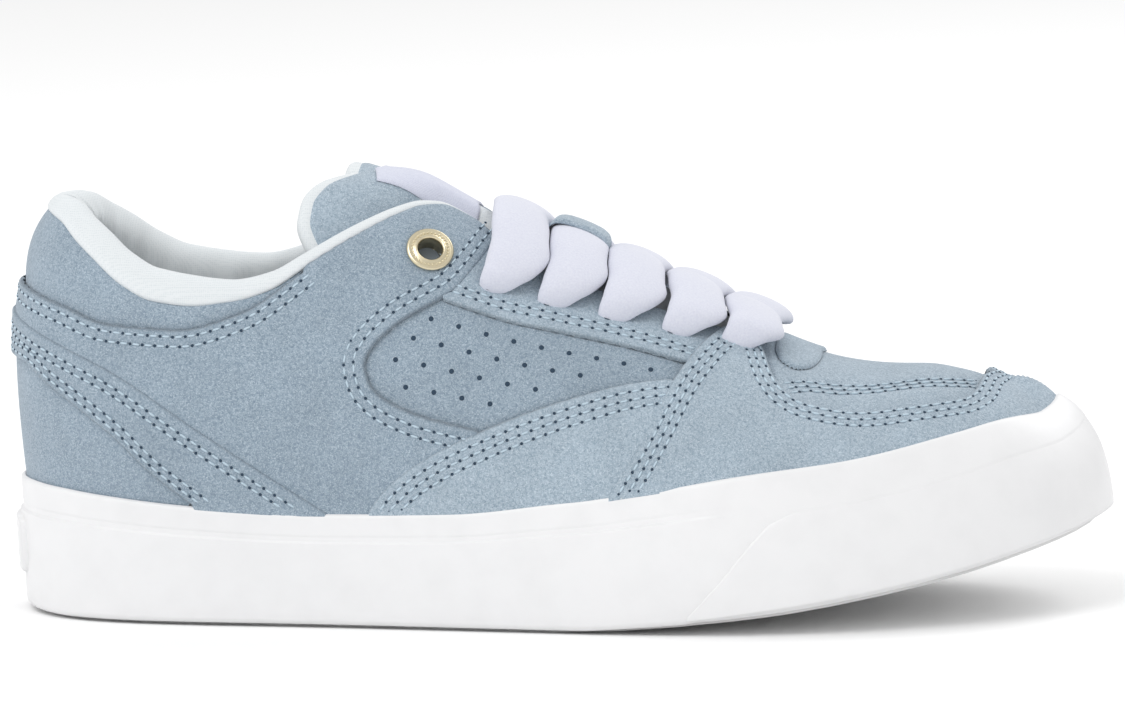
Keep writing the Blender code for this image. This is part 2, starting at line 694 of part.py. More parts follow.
def build_holes(upper):
    """Bore the lace holes and the eyelet holes through the shell and the panels over it."""
    for side, mirror in (("outer", False), ("inner", True)):
        drums = []
        for row, wall, cross in LACE_ROWS:
            here = LOOP - row if mirror else row
            drums.append(drum(here, wall, LACE_HOLE, -0.006, 0.006, 10))
        row = LOOP - METAL_EYELET[0] if mirror else METAL_EYELET[0]
        drums.append(drum(row, METAL_EYELET[1], EYELET_HOLE, -0.006, 0.006, 16))
        tool = cutter("holes_" + side, drums)
        for name in ("upper", "quarter_" + side, "eyestay_" + side):
            bore(bpy.data.objects[name], tool)
        bore(bpy.data.objects["mudguard"], tool)


def build_eyelets():
    """Metal eyelets: a rounded flange and a barrel through the shell."""
    profile = ((EYELET_BORE, -0.0029), (EYELET_BARREL, -0.0029), (EYELET_BARREL, 0.0020),
               (EYELET_FLANGE, 0.0020), (EYELET_FLANGE, 0.0026), (0.0056, 0.0031),
               (0.0042, 0.0032), (EYELET_BORE, 0.0026))
    sides = 16
    for name, row in (("eyelet_outer", METAL_EYELET[0]), ("eyelet_inner", LOOP - METAL_EYELET[0])):
        centre, out, side, up = place_frame(row, METAL_EYELET[1])
        rings = []
        for k in range(sides):
            angle = math.tau * k / sides
            away = side * math.cos(angle) + up * math.sin(angle)
            rings.append([centre + away * radius + out * height for radius, height in profile])
        tube(name, rings, "metal", closed=True)


def build_foxing():
    """Side band: outer face with a step along it, top edge on the last, hollow inside."""
    rings = []
    for row in lattice_rows():
        wall = float(FOXING_WALL(float(outer_row(row))))
        foot, out = plan(np.array(row), FOXING_BASE - GAP)
        floor = float(UNDERSIDE(foot[0]))
        seat = float(toe_seat(row)) * STRIP_SEAT
        step = -0.0007 if seat < 0.5 * STRIP_SEAT else 0.0
        face = [(0.0, -0.0006 - seat), (0.30, -seat), (0.68, -seat), (0.715, step),
                (0.88, step), (0.99, step)]
        ring = [foxing_face(row, share, level) for share, level in face]
        loose = GAP * (2.0 + 1.2 * float(ramp(outer_row(row), 9.2, 10.6)))
        ring += [on_last(row, (wall - 0.006) * share, space)
                 for share, space in ((1.0, GAP), (0.7, loose), (0.35, loose), (0.0, GAP))]
        ring.append(np.array([foot[0], foot[1], floor + 0.0010]))
        rings.append(ring)
    tube("foxing", rings, "rubber", closed=True)


def build_toe_strip():
    """Second rubber layer round the toe, ends swept back to the sole."""
    edge = ((7.30, 0.02), (7.62, 0.25), (7.90, 0.47), (8.12, 0.61), (8.40, 0.665))
    rows = [row for row in lattice_rows() if 8.5 < row < LOOP - 8.5]
    top = [(row, 0.665) for row in rows]
    low_rows = [7.62, 7.9, 8.12, 8.4] + rows + [LOOP - 8.4, LOOP - 8.12, LOOP - 7.9, LOOP - 7.62]
    outline = [(7.30, 0.02)] + [(row, 0.02) for row in low_rows] + mirrored([(7.30, 0.02)])
    outline += mirrored(edge[1:]) + back(top) + back(list(edge[1:]))
    inside = [(row, share) for row in lattice_rows() if 8.2 < row < LOOP - 8.2
              for share in (0.30, 0.52)]
    sheet = Sheet(fold=False)
    sheet.add_region(outline, inside, (20.0, 42.0))

    def seat(s, h):
        edge = 0.0006 * np.clip(1.0 - h / 0.30, 0.0, 1.0)
        return foxing_face(s, h, GAP - STRIP_SEAT * toe_seat(s) - edge)

    def face(s, h):
        edge = 0.0006 * np.clip(1.0 - h / 0.30, 0.0, 1.0)
        return foxing_face(s, h, GAP + 0.0010 - STRIP_SEAT * toe_seat(s) - edge)

    sheet.slab("toe_strip", seat, face, "rubber")


def build_heel_label():
    """Small raised plate at the back of the side band, left blank."""
    shares = (0.22, 0.38, 0.54, 0.66)
    rows = (-0.75, -0.5, -0.25, 0.0, 0.25, 0.5, 0.75)
    sheet = Sheet(fold=False)
    sheet.add_grid([[(row, share) for share in shares] for row in rows])
    sheet.slab("heel_label", lambda s, h: foxing_face(s, h, GAP),
               lambda s, h: foxing_face(s, h, GAP + 0.0012), "rubber")


def plan_region(name, inset, under, over, material):
    """Flat plate cut to the sole's outline, its faces at two height rules."""
    rows = lattice_rows()
    rim, out = plan(np.array(rows), inset(np.array(rows)))
    outline = [(float(x), float(y)) for x, y in rim]
    inside = [(x, y) for x in np.arange(0.150, LENGTH, 0.018) for y in (-0.024, 0.002, 0.026)]
    sheet = Sheet(fold=False)
    sheet.add_region(outline, inside, (1000.0, 1000.0))
    return sheet.slab(name, lambda x, y: points(x, y, UNDERSIDE(x) + under),
                      lambda x, y: points(x, y, UNDERSIDE(x) + over), material)


def build_outsole():
    """Sole core with its tread: bars left standing between cut grooves."""
    item = plan_region("outsole", lambda s: np.full_like(s, FOXING_BASE + GAP), 0.0,
                       SOLE_RISE - 0.0008, "tread")
    grooves = []
    heel = [0.028 + 0.014 * k for k in range(5)]
    forefoot = [0.142 + 0.014 * k for k in range(9)]
    for x in heel + forefoot:
        half = 0.026 if x < 0.1 else 0.034
        middle = 0.0 if x < 0.1 else 0.002
        if x > 0.225:
            half = 0.026
            middle = 0.004
        floor = float(UNDERSIDE(x))
        ring = [(x - 0.0014, middle - half), (x + 0.0014, middle - half),
                (x + 0.0046, middle), (x + 0.0014, middle + half), (x - 0.0014, middle + half),
                (x + 0.0018, middle)]
        grooves.append([[np.array([p, q, floor - 0.004]) for p, q in ring],
                        [np.array([p, q, floor + 0.0018]) for p, q in ring]])
    tool = cutter("tread_grooves", grooves)
    bore(item, tool)


def build_insole():
    """Loose sock inside, clear of the shell's walls."""

    def inset(s):
        row = outer_row(s)
        toe = np.clip((row - 8.5) / 4.0, 0.0, 1.0)
        return 0.0071 + 0.0042 * toe

    plan_region("insole", inset, SOLE_RISE + 0.0001, SOLE_RISE + 0.0035, "foam")


def build_padding():
    """Padded collar: a roll over the seam that runs down inside the shell."""
    measures = {name: Curve([(row[0], row[k] * 0.001) for row in PADDING])
                for k, name in enumerate(PADDING_COLUMNS) if k}
    rows = [row for row in lattice_rows() if row < PADDING_END - 0.1]
    rows += [PADDING_END]
    stations = [-row for row in reversed(rows[1:])] + rows
    rings = []
    for s in stations:
        row = abs(s)
        roll = float(measures["roll"](row))
        thick = float(measures["thick"](row))
        depth = float(measures["depth"](row))
        wall = float(SEAM_WALL(row))
        reach = float(np.linalg.norm(last(s, wall) - last(s, wall - 0.01))) / 0.01
        inner = SHELL + 0.0006 + 0.0006 * min(1.0, max(0.0, (row - 4.2) / 0.6))
        shape = ((-0.0001, 2 * GAP), (0.0004, 0.45 * roll), (-0.16 * thick, 0.86 * roll),
                 (-0.40 * thick, roll), (-0.70 * thick, 0.86 * roll), (-0.93 * thick, 0.35 * roll),
                 (-thick, -0.20 * depth), (-0.86 * thick, -0.60 * depth),
                 (-inner - 0.0006, -depth), (-inner, -depth), (-inner, -0.5 * depth),
                 (-inner, 2 * GAP))
        rings.append([on_last(s, wall + up / reach, out) for out, up in shape])
    tube("collar_padding", rings, "lining", closed=False)


def ramp(x, low, high):
    """Soft ramp from 0 at low to 1 at high."""
    t = np.clip((np.asarray(x, float) - low) / (high - low), 0.0, 1.0)
    return t * t * (3 - 2 * t)


def tongue_rim(row):
    """Wall share of the edge that the tongue comes out from under."""
    return np.minimum(SEAM_WALL(np.minimum(row, 8.3)), 0.90)


def tongue_sag(s, v):
    """How far the flat top of the tongue lies below the arch of the last."""
    row = outer_row(s)
    inner = np.asarray(s, float) % LOOP > TOE
    low = TONGUE_SAG * np.where(inner, ramp(v, 0.86, 1.0), ramp(v, 0.84, 1.0))
    clear = ramp(v, tongue_rim(row) + 0.03, tongue_rim(row) + 0.09)
    lobe = TONGUE_LOBE * ramp(v, 0.70, 0.84) * (1 - ramp(v, 0.88, 1.0)) * clear
    return (low - np.where(inner, lobe, 0.0)) * (1 - ramp(row, 4.4, 5.35))


def tongue_height(s, v):
    """How far the tongue's outer face lies outside the last: deep under the eyestays."""
    s, v = np.broadcast_arrays(np.asarray(s, float), np.asarray(v, float))
    row = outer_row(s)
    rim = tongue_rim(row)
    swell = ramp(v - rim - 0.02, 0.0, 0.95 - rim)
    fade = ramp(8.12 - row, 0.0, 0.5)
    top = 0.0004 - 0.0006 * np.clip((row - 5.2) / 0.8, 0.0, 1.0)
    ease = np.clip((row - 7.4) / 0.6, 0.0, 1.0)
    deep = -0.0054 + 0.0024 * ease
    return deep + (top - deep) * swell * fade - tongue_sag(s, v)


def tongue_region(sheet, top_edge, flip):
    """One half of the tongue."""
    outline = chain([back(top_edge), TONGUE_SIDE, [(TONGUE_FOOT, 0.84), (TONGUE_FOOT, 1.0)],
                     [(TONGUE_FOOT, 1.0), TONGUE_TOP_OUTER[-1]]], spacing=7.5)
    inside = [(row, wall) for row in np.arange(4.3, 8.6, 0.36)
              for wall in (0.69, 0.76, 0.83, 0.88, 0.94)]
    if flip:
        outline = mirrored(outline)
        inside = mirrored(inside)
    sheet.add_region(outline, inside, (ROW_SIZE, WALL_SIZE))


def build_tongue():
    """Padded tongue, under the eyestays and out over the collar, with its label and keeper."""
    sheet = Sheet(fold=True)
    tongue_region(sheet, TONGUE_TOP_OUTER, False)
    tongue_region(sheet, TONGUE_TOP_INNER, True)

    def under(s, v):
        row = outer_row(s)
        thin = np.clip((row - 7.8) / 0.8, 0.0, 1.0)
        return on_last(s, v, tongue_height(s, v) - TONGUE_THICK * (1 - 0.55 * thin))

    sheet.slab("tongue", under, lambda s, v: on_last(s, v, tongue_height(s, v)), "suede_pale")
    label = Sheet(fold=True)
    rows = np.linspace(LABEL_ROWS[0], LABEL_ROWS[1], 7)
    label.add_grid([[(row, wall) for wall in (LABEL_WALL, 0.96, 1.0)] for row in rows])
    label.add_grid([[(LOOP - row, wall) for wall in (LABEL_WALL, 0.96, 1.0)]
                    for row in reversed(rows)])
    label.slab("tongue_label", lambda s, v: on_last(s, v, 0.0014 - tongue_sag(s, v)),
               lambda s, v: on_last(s, v, 0.0022 - tongue_sag(s, v)), "webbing")


def build_keeper():
    """Suede loop that stands over the second lace bar in the middle of the tongue."""
    hole_row, hole_wall, cross = LACE_ROWS[KEEPER_BAR]

    def middle(wall):
        return cross - (cross - hole_row) * (1.0 - wall) / (1.0 - hole_wall)

    half = 0.277
    shares = np.array([-1.0, -0.93, -0.75, -0.45, 0.0, 0.45, 0.75, 0.93, 1.0])
    rise = (0.0008, 0.0042, 0.0059, 0.0066, 0.0068, 0.0066, 0.0059, 0.0042, 0.0008)
    arch = Curve(list(zip(half * shares, rise)))
    walls = (0.93, 0.965, 1.0)
    sheet = Sheet(fold=True)
    sheet.add_grid([[(middle(wall) + half * share, wall) for wall in walls] for share in shares])
    sheet.add_grid([[(LOOP - middle(wall) - half * share, wall) for wall in walls]
                    for share in reversed(shares)])
    sheet.slab("lace_keeper", lambda s, v: on_last(s, v, arch(outer_row(s) - middle(v))),
               lambda s, v: on_last(s, v, arch(outer_row(s) - middle(v)) + 0.0013), "suede_pale")


def build_lace_bars():
    """Padded flat bars, one per pair of holes, from hole to hole over the tongue."""
    shares = (0.0, 0.10, 0.25, 0.50, 0.78, 1.0)
    width = Curve(((0.0, 0.42), (0.10, 0.82), (0.25, 1.0), (0.55, 1.0), (1.0, 0.86)))
    thick = Curve(((0.0, 0.45), (0.10, 0.80), (0.25, 1.0), (1.0, 1.0)))
    sway = Curve(((0.0, 0.0), (0.10, 0.75), (0.25, 1.0), (0.50, 0.60), (1.0, 0.0)))
    sides = 8
    for number, (row, wall, cross) in enumerate(LACE_ROWS, start=1):
        path = []
        for share in shares:
            s = row + (cross - row) * share + LACE_SWAY * float(sway(share))
            v = wall + (1.0 - wall) * share
            body = LACE_THICK * float(thick(share))
            rest = LACE_REST[number - 1]
            lift = rest + 0.5 * body
            lift = lift + (0.0032 - lift) * share**2
            path.append((s, v, lift, body, LACE_WIDTH * float(width(share))))
        other = [(LOOP - s, v, lift, body, wide) for s, v, lift, body, wide in path[:-1]]
        path = path + other[::-1]
        centres = np.array([on_last(s, v, lift) for s, v, lift, body, wide in path])
        normals = np.array([outward(s, v) for s, v, lift, body, wide in path])
        rings = []
        for k, (s, v, lift, body, wide) in enumerate(path):
            along = unit(centres[min(k + 1, len(path) - 1)] - centres[max(k - 1, 0)])
            out = unit(normals[k] - along * np.sum(along * normals[k]))
            side = np.cross(along, out)
            ring = []
            for j in range(sides):
                angle = math.tau * (j + 0.5) / sides
                x = math.copysign(abs(math.cos(angle)) ** 0.75, math.cos(angle))
                y = math.copysign(abs(math.sin(angle)) ** 0.9, math.sin(angle))
                ring.append(centres[k] + side * 0.5 * wide * x + out * 0.5 * body * y)
            rings.append(ring)
        tube("lace_bar_%d" % number, rings, "webbing", closed=False)


def settle():
    """Stand the shoe on the ground with the middle of its box on the origin."""
    low = Vector((1e9, 1e9, 1e9))
    high = -low
    for item in bpy.data.objects:
        if item.hide_render:
            continue
        for corner in item.data.vertices:
            for k in range(3):
                low[k] = min(low[k], corner.co[k])
                high[k] = max(high[k], corner.co[k])
    shift = Matrix.Translation((-(low.x + high.x) / 2, -(low.y + high.y) / 2, -low.z))
    for item in bpy.data.objects:
        item.data.transform(shift)


def main():
    """Build every piece of the shoe."""
    for item in list(bpy.data.objects):
        bpy.data.objects.remove(item, do_unlink=True)
    upper = build_upper()
    build_panels()
    build_holes(upper)
    build_foxing()
    build_toe_strip()
    build_heel_label()
    build_outsole()
    build_insole()
    build_padding()
    build_tongue()
    build_keeper()
    build_eyelets()
    build_lace_bars()
    settle()


main()
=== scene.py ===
"""Looks of a right-foot skateboarding shoe in pale blue suede on a white rubber band.

Every soft surface is drawn on the last, a form read with two numbers: row, which counts the
sections from the heel round the outer side to the toe and back along the inner side, and wall,
which runs from 0 at the sole to 1 on the ridge over the foot.
"""

import logging
import math
from dataclasses import dataclass, field
from enum import Enum
from typing import Callable, Iterable, Sequence

import bmesh
import bpy
import numpy as np
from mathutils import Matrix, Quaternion, Vector
from mathutils.geometry import delaunay_2d_cdt
from mathutils.kdtree import KDTree


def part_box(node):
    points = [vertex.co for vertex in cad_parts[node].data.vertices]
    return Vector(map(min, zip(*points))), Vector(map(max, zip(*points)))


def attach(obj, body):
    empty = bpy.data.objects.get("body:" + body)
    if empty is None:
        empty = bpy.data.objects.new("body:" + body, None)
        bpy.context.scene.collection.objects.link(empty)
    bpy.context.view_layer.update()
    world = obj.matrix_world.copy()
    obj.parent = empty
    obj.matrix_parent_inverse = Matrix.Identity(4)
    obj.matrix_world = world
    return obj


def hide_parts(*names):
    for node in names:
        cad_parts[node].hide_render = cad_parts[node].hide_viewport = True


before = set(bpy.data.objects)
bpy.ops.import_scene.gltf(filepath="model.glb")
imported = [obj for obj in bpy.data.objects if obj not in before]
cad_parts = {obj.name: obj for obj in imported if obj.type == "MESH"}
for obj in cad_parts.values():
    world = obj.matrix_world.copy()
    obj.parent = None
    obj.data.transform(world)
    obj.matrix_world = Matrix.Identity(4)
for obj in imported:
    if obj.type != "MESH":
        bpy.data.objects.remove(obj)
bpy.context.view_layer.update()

LOG = logging.getLogger("shoe")
MM = 0.001
Table = Sequence[tuple[float, ...]]

# Driving sizes of the shoe, in metres
LENGTH = 0.289
BALL_WIDTH = 0.104
HEEL_HEIGHT = 0.112
SOLE_RISE = 0.014
FOXING_BASE = 0.0042
SHELL = 0.0022
GAP = 0.00035
STRIP_SEAT = 0.0009

SECTION_COLUMNS = ("x", "outer", "inner", "ridge_x", "ridge_z", "ridge_y",
                   "lean", "rise", "crown", "top")
SECTIONS = (
    (0.008, 0.000, 0.000, 0.120, 1.120, 0.0, 0.04, 0.42, 1.60, 22),
    (0.026, 0.165, 0.165, 0.122, 1.120, 0.0, 0.05, 0.42, 1.55, 22),
    (0.080, 0.285, 0.280, 0.140, 1.120, 0.0, 0.07, 0.42, 1.40, 22),
    (0.165, 0.345, 0.335, 0.190, 1.120, 0.0, 0.08, 0.42, 1.25, 20),
    (0.270, 0.375, 0.340, 0.275, 1.088, 0.0, 0.06, 0.42, 1.15, 18),
    (0.380, 0.415, 0.340, 0.360, 1.038, 0.0, 0.04, 0.42, 1.00, 12),
    (0.490, 0.460, 0.365, 0.455, 0.908, 1.0, 0.03, 0.42, 0.74, 4),
    (0.600, 0.500, 0.430, 0.555, 0.795, 2.0, 0.02, 0.45, 0.55, 0),
    (0.700, 0.505, 0.490, 0.655, 0.680, 4.0, 0.03, 0.50, 0.54, 0),
    (0.790, 0.455, 0.500, 0.745, 0.583, 5.5, 0.04, 0.52, 0.55, 0),
    (0.870, 0.370, 0.460, 0.820, 0.560, 6.5, 0.00, 0.50, 0.56, 0),
    (0.935, 0.262, 0.402, 0.872, 0.543, 7.0, -0.15, 0.46, 0.50, 3),
    (0.980, 0.130, 0.270, 0.900, 0.514, 7.3, -0.32, 0.43, 0.44, 2),
    (1.000, -0.070, 0.070, 0.908, 0.509, 7.3, -0.40, 0.42, 0.42, 3),
)
TOE = len(SECTIONS) - 1
LOOP = 2 * TOE

# Underside of the sole: share of LENGTH, height in millimetres
SPRING = ((0.00, 1.2), (0.03, 0.3), (0.06, 0.0), (0.53, 0.0), (0.585, 1.0), (0.65, 2.8),
          (0.72, 5.2), (0.80, 9.0), (0.875, 13.5), (0.92, 17.0), (0.965, 20.8), (1.00, 24.0))

# Edges on the last as (row, wall) for the outer side; the inner side mirrors it
COLLAR_SEAM = ((0.0, 0.735), (0.6, 0.730), (1.2, 0.712), (1.75, 0.658), (2.05, 0.620),
               (2.45, 0.560), (2.8, 0.524), (3.15, 0.515), (3.5, 0.528), (3.85, 0.562),
               (4.1, 0.610), (4.35, 0.660), (4.7, 0.732), (4.95, 0.790), (5.2, 0.850),
               (5.45, 0.885), (5.65, 0.880), (5.87, 0.845), (6.1, 0.795), (6.5, 0.770),
               (7.0, 0.772), (7.5, 0.790), (7.9, 0.815), (8.1, 0.860), (8.2, 0.910),
               (8.26, 0.955), (8.3, 1.000))
FOXING_TOP = ((0.0, 0.155), (0.9, 0.155), (1.64, 0.151), (2.23, 0.142), (3.07, 0.127),
              (4.1, 0.118), (4.64, 0.121), (5.35, 0.135), (6.26, 0.180), (6.76, 0.202),
              (7.46, 0.235), (8.41, 0.294), (9.52, 0.368), (10.2, 0.418), (10.86, 0.477),
              (11.74, 0.546), (12.4, 0.585), (13.0, 0.600))
QUARTER_TOP = ((0.0, 0.556), (0.6, 0.546), (1.7, 0.512), (2.38, 0.472), (3.05, 0.460),
               (3.61, 0.502), (4.02, 0.580), (4.12, 0.602))
STRAP_TOP = ((0.0, 0.492), (0.66, 0.480), (1.5, 0.447), (2.29, 0.392), (3.27, 0.268),
             (4.35, 0.119))
STRAP_LOW = ((0.0, 0.392), (0.98, 0.385), (1.57, 0.345), (1.97, 0.308), (2.41, 0.252),
             (2.78, 0.186), (3.17, 0.127))
WINDOW_FRONT = ((5.30, 0.591), (4.90, 0.500), (4.72, 0.448), (4.66, 0.415), (4.70, 0.375),
                (4.86, 0.343), (5.20, 0.322), (5.62, 0.316))
QUARTER_FRONT = ((5.87, 0.845), (5.65, 0.720), (5.43, 0.625), (5.30, 0.591))
SIDE_PANEL_REAR = ((4.64, 0.121), (4.78, 0.165), (4.94, 0.202), (5.25, 0.258), (5.62, 0.316))
SIDE_PANEL_TOP = ((5.62, 0.316), (6.0, 0.373), (6.38, 0.424), (6.85, 0.480), (7.30, 0.525))
WINDOW_TOP = ((5.30, 0.591), (5.81, 0.588), (6.33, 0.592), (6.85, 0.593), (7.43, 0.592))
MUDGUARD_REAR = ((6.63, 0.193), (6.96, 0.337), (7.30, 0.525), (7.43, 0.592), (7.66, 0.712),
                 (7.86, 0.812))
MUDGUARD_INNER = ((8.10, 0.860), (8.20, 0.756), (8.24, 0.660), (8.33, 0.592), (8.52, 0.556),
                  (9.00, 0.549), (9.61, 0.571), (10.33, 0.617), (10.6, 0.680), (10.8, 0.775),
                  (11.0, 0.865), (11.2, 0.925), (11.5, 1.000))
TAB_EDGE = ((8.44, 1.000), (8.40, 0.900), (8.36, 0.820), (8.38, 0.768), (8.50, 0.745),
            (8.66, 0.775), (8.80, 0.850), (8.88, 0.930), (8.92, 1.000))
TOE_ROWS = ((8.44, 0.640), (8.60, 0.672), (8.86, 0.695), (9.30, 0.728), (9.72, 0.753),
            (10.10, 0.772), (10.50, 0.795), (10.86, 0.815))

# Tongue: side and top edges per side
TONGUE_SIDE = ((4.60, 0.590), (5.0, 0.620), (5.6, 0.690), (6.2, 0.690), (7.0, 0.690),
               (7.8, 0.720), (8.3, 0.760), (8.62, 0.840))
TONGUE_TOP_OUTER = ((4.60, 0.590), (4.24, 0.630), (4.08, 0.690), (4.01, 0.750), (4.03, 0.810),
                    (4.14, 0.870), (4.30, 0.930), (4.44, 1.000))
TONGUE_TOP_INNER = ((4.60, 0.590), (4.46, 0.630), (4.38, 0.700), (4.35, 0.780), (4.35, 0.860),
                    (4.39, 0.930), (4.44, 1.000))
TONGUE_SAG = 0.0056
TONGUE_LOBE = 0.0026

# Padding by row: roll height over the seam, thickness and depth below it, millimetres
PADDING_COLUMNS = ("row", "roll", "thick", "depth")
PADDING = ((0.0, 5.5, 12.5, 30), (1.2, 7.0, 12.5, 30), (2.3, 9.5, 12.0, 28),
           (3.1, 8.5, 10.5, 26),
           (3.6, 5.6, 7.0, 24), (4.1, 4.6, 4.6, 18), (4.7, 4.3, 4.3, 9), (5.0, 4.1, 4.2, 5),
           (5.45, 3.5, 4.1, 5), (5.7, 2.4, 4.1, 5))

# Lace bars from the collar down: row and wall of the holes, row where each crosses the ridge
LACE_ROWS = ((5.73, 0.652, 6.08), (6.24, 0.657, 6.62), (6.77, 0.661, 7.12),
             (7.33, 0.678, 7.63), (7.86, 0.710, 8.16))
LACE_SWAY = 0.14
LACE_REST = (0.0028, 0.0023, 0.0023, 0.00255, 0.0028)
METAL_EYELET = (5.22, 0.706)

# Rear and top edge of the rubber strip round the toe, share of the side band's height by row
STRIP_EDGE = ((7.30, 0.03), (7.62, 0.25), (7.90, 0.47), (8.12, 0.61), (8.40, 0.665),
              (13.0, 0.665))

# Soft troughs and ridges of the worn-in form: ends as (row, wall), depth and width in mm
CREASE_COLUMNS = ("row_a", "wall_a", "row_b", "wall_b", "depth", "width")
CREASES = (
    (0.9, 0.60, 3.0, 0.49, 0.50, 5.0),
    (1.4, 0.66, 2.6, 0.52, -0.45, 4.0),
    (2.6, 0.40, 4.3, 0.30, 0.30, 7.0),
    (3.9, 0.50, 5.0, 0.66, 0.35, 5.0),
    (5.6, 0.78, 5.9, 0.60, 0.30, 4.0),
    (6.7, 0.40, 7.6, 0.60, 0.35, 6.0),
    (8.0, 0.45, 9.2, 0.42, 0.30, 7.0),
    (8.9, 0.62, 9.6, 0.86, 0.40, 6.0),
    (9.9, 0.66, 10.2, 0.92, -0.30, 6.0),
)


class Curve:
    """Smooth curve through a table of (position, value), monotone between its points."""

    def __init__(self, table: Table) -> None:
        """Fit the curve.

        Args:
            table: rows of position and value, positions rising.
        """
        self.x = np.array([row[0] for row in table], float)
        self.y = np.array([row[1] for row in table], float)
        step = np.diff(self.x)
        rate = np.diff(self.y) / step
        slope = np.zeros(len(self.x))
        for i in range(1, len(self.x) - 1):
            if rate[i - 1] * rate[i] > 0:
                first = 2 * step[i] + step[i - 1]
                second = step[i] + 2 * step[i - 1]
                slope[i] = (first + second) / (first / rate[i - 1] + second / rate[i])
        slope[0] = rate[0]
        slope[-1] = rate[-1]
        self.step = step
        self.slope = slope

    def __call__(self, x: np.ndarray) -> np.ndarray:
        """Read the curve, going on straight past its ends.

        Args:
            x: places to read it at.

        Returns:
            Its values there.
        """
        x = np.asarray(x, float)
        k = np.clip(np.searchsorted(self.x, x) - 1, 0, len(self.x) - 2)
        h = self.step[k]
        t = np.clip((x - self.x[k]) / h, 0.0, 1.0)
        start = (2 * t**3 - 3 * t**2 + 1) * self.y[k] + (t**3 - 2 * t**2 + t) * h * self.slope[k]
        end = (-2 * t**3 + 3 * t**2) * self.y[k + 1] + (t**3 - t**2) * h * self.slope[k + 1]
        beyond = np.maximum(x - self.x[-1], 0.0) * self.slope[-1]
        before = np.minimum(x - self.x[0], 0.0) * self.slope[0]
        return start + end + beyond + before


class LoopCurve:
    """Smooth closed curve with one value, or set of values, per row of the loop."""

    def __init__(self, values: Sequence) -> None:
        """Fit the closed curve through its values.

        Args:
            values: values of each row of the loop.
        """
        y = np.array(values, float)
        n = len(y)
        matrix = 4 * np.eye(n) + np.roll(np.eye(n), 1, axis=1) + np.roll(np.eye(n), -1, axis=1)
        right = 3 * (np.roll(y, -1, axis=0) - np.roll(y, 1, axis=0))
        self.n = n
        self.y = y
        self.slope = np.linalg.solve(matrix, right)

    def __call__(self, s: np.ndarray) -> np.ndarray:
        """Read the curve at any row.

        Args:
            s: rows on the last.

        Returns:
            Its values there.
        """
        s = np.asarray(s, float) % self.n
        k = np.floor(s).astype(int) % self.n
        t = (s - np.floor(s))[..., None]
        after = (k + 1) % self.n
        start = (2 * t**3 - 3 * t**2 + 1) * self.y[k] + (t**3 - 2 * t**2 + t) * self.slope[k]
        end = (-2 * t**3 + 3 * t**2) * self.y[after] + (t**3 - t**2) * self.slope[after]
        return start + end


def stack(*parts: np.ndarray) -> np.ndarray:
    """Join coordinate arrays into points."""
    return np.stack(np.broadcast_arrays(*parts), -1)


def unit(vectors: np.ndarray) -> np.ndarray:
    """Vectors scaled to length one."""
    length = np.linalg.norm(vectors, axis=-1, keepdims=True)
    return vectors / np.maximum(length, 1e-12)


def smooth_share(x: np.ndarray, low: float, high: float) -> np.ndarray:
    """Soft ramp from 0 at low to 1 at high."""
    t = np.clip((np.asarray(x, float) - low) / (high - low), 0.0, 1.0)
    return t * t * (3 - 2 * t)


def quarter_round(distance: np.ndarray, radius: float) -> np.ndarray:
    """Share of full height at a distance in from a rounded edge."""
    t = np.clip(1.0 - np.asarray(distance, float) / radius, 0.0, 1.0)
    return np.sqrt(np.maximum(1.0 - t * t, 0.0))


def column(row: int, name: str) -> float:
    """One named value of a section."""
    return SECTIONS[row][SECTION_COLUMNS.index(name)]


def round_the_loop(value: Callable[[int, int], list[float]]) -> list[list[float]]:
    """Values for every row of the loop: outer side out to the toe, inner side back.

    Args:
        value: gives a row's values on one side.

    Returns:
        A list of values per row.
    """
    outer = [value(row, -1) for row in range(TOE + 1)]
    inner = [value(row, 1) for row in range(TOE - 1, 0, -1)]
    return outer + inner


def outer_row(s: np.ndarray) -> np.ndarray:
    """Row folded onto the outer side, since both sides share the edge tables."""
    s = np.asarray(s, float) % LOOP
    return np.minimum(s, LOOP - s)


def between(table: Table, start: float, end: float) -> list[tuple[float, float]]:
    """Part of an edge table from one row to another, with both ends on its curve.

    Args:
        table: rows and wall shares of the edge.
        start: row it starts at.
        end: row it ends at.

    Returns:
        Rows and wall shares of that part.
    """
    line = Curve(table)
    low, high = min(start, end), max(start, end)
    rows = [low] + [row for row, _ in table if low + 0.05 < row < high - 0.05] + [high]
    part = [(row, float(line(row))) for row in rows]
    return part if start <= end else part[::-1]


def back(table: Table) -> list[tuple[float, float]]:
    """A table read from its end to its start."""
    return list(reversed(table))


def mirrored(table: Table) -> list[tuple[float, float]]:
    """The same edge on the inner side."""
    return [(LOOP - row, wall) for row, wall in table]


def across_heel(table: Table) -> list[tuple[float, float]]:
    """An edge that starts at the heel, run on from the inner side to the outer side."""
    return [(-row, wall) for row, wall in reversed(table) if row > 0] + list(table)


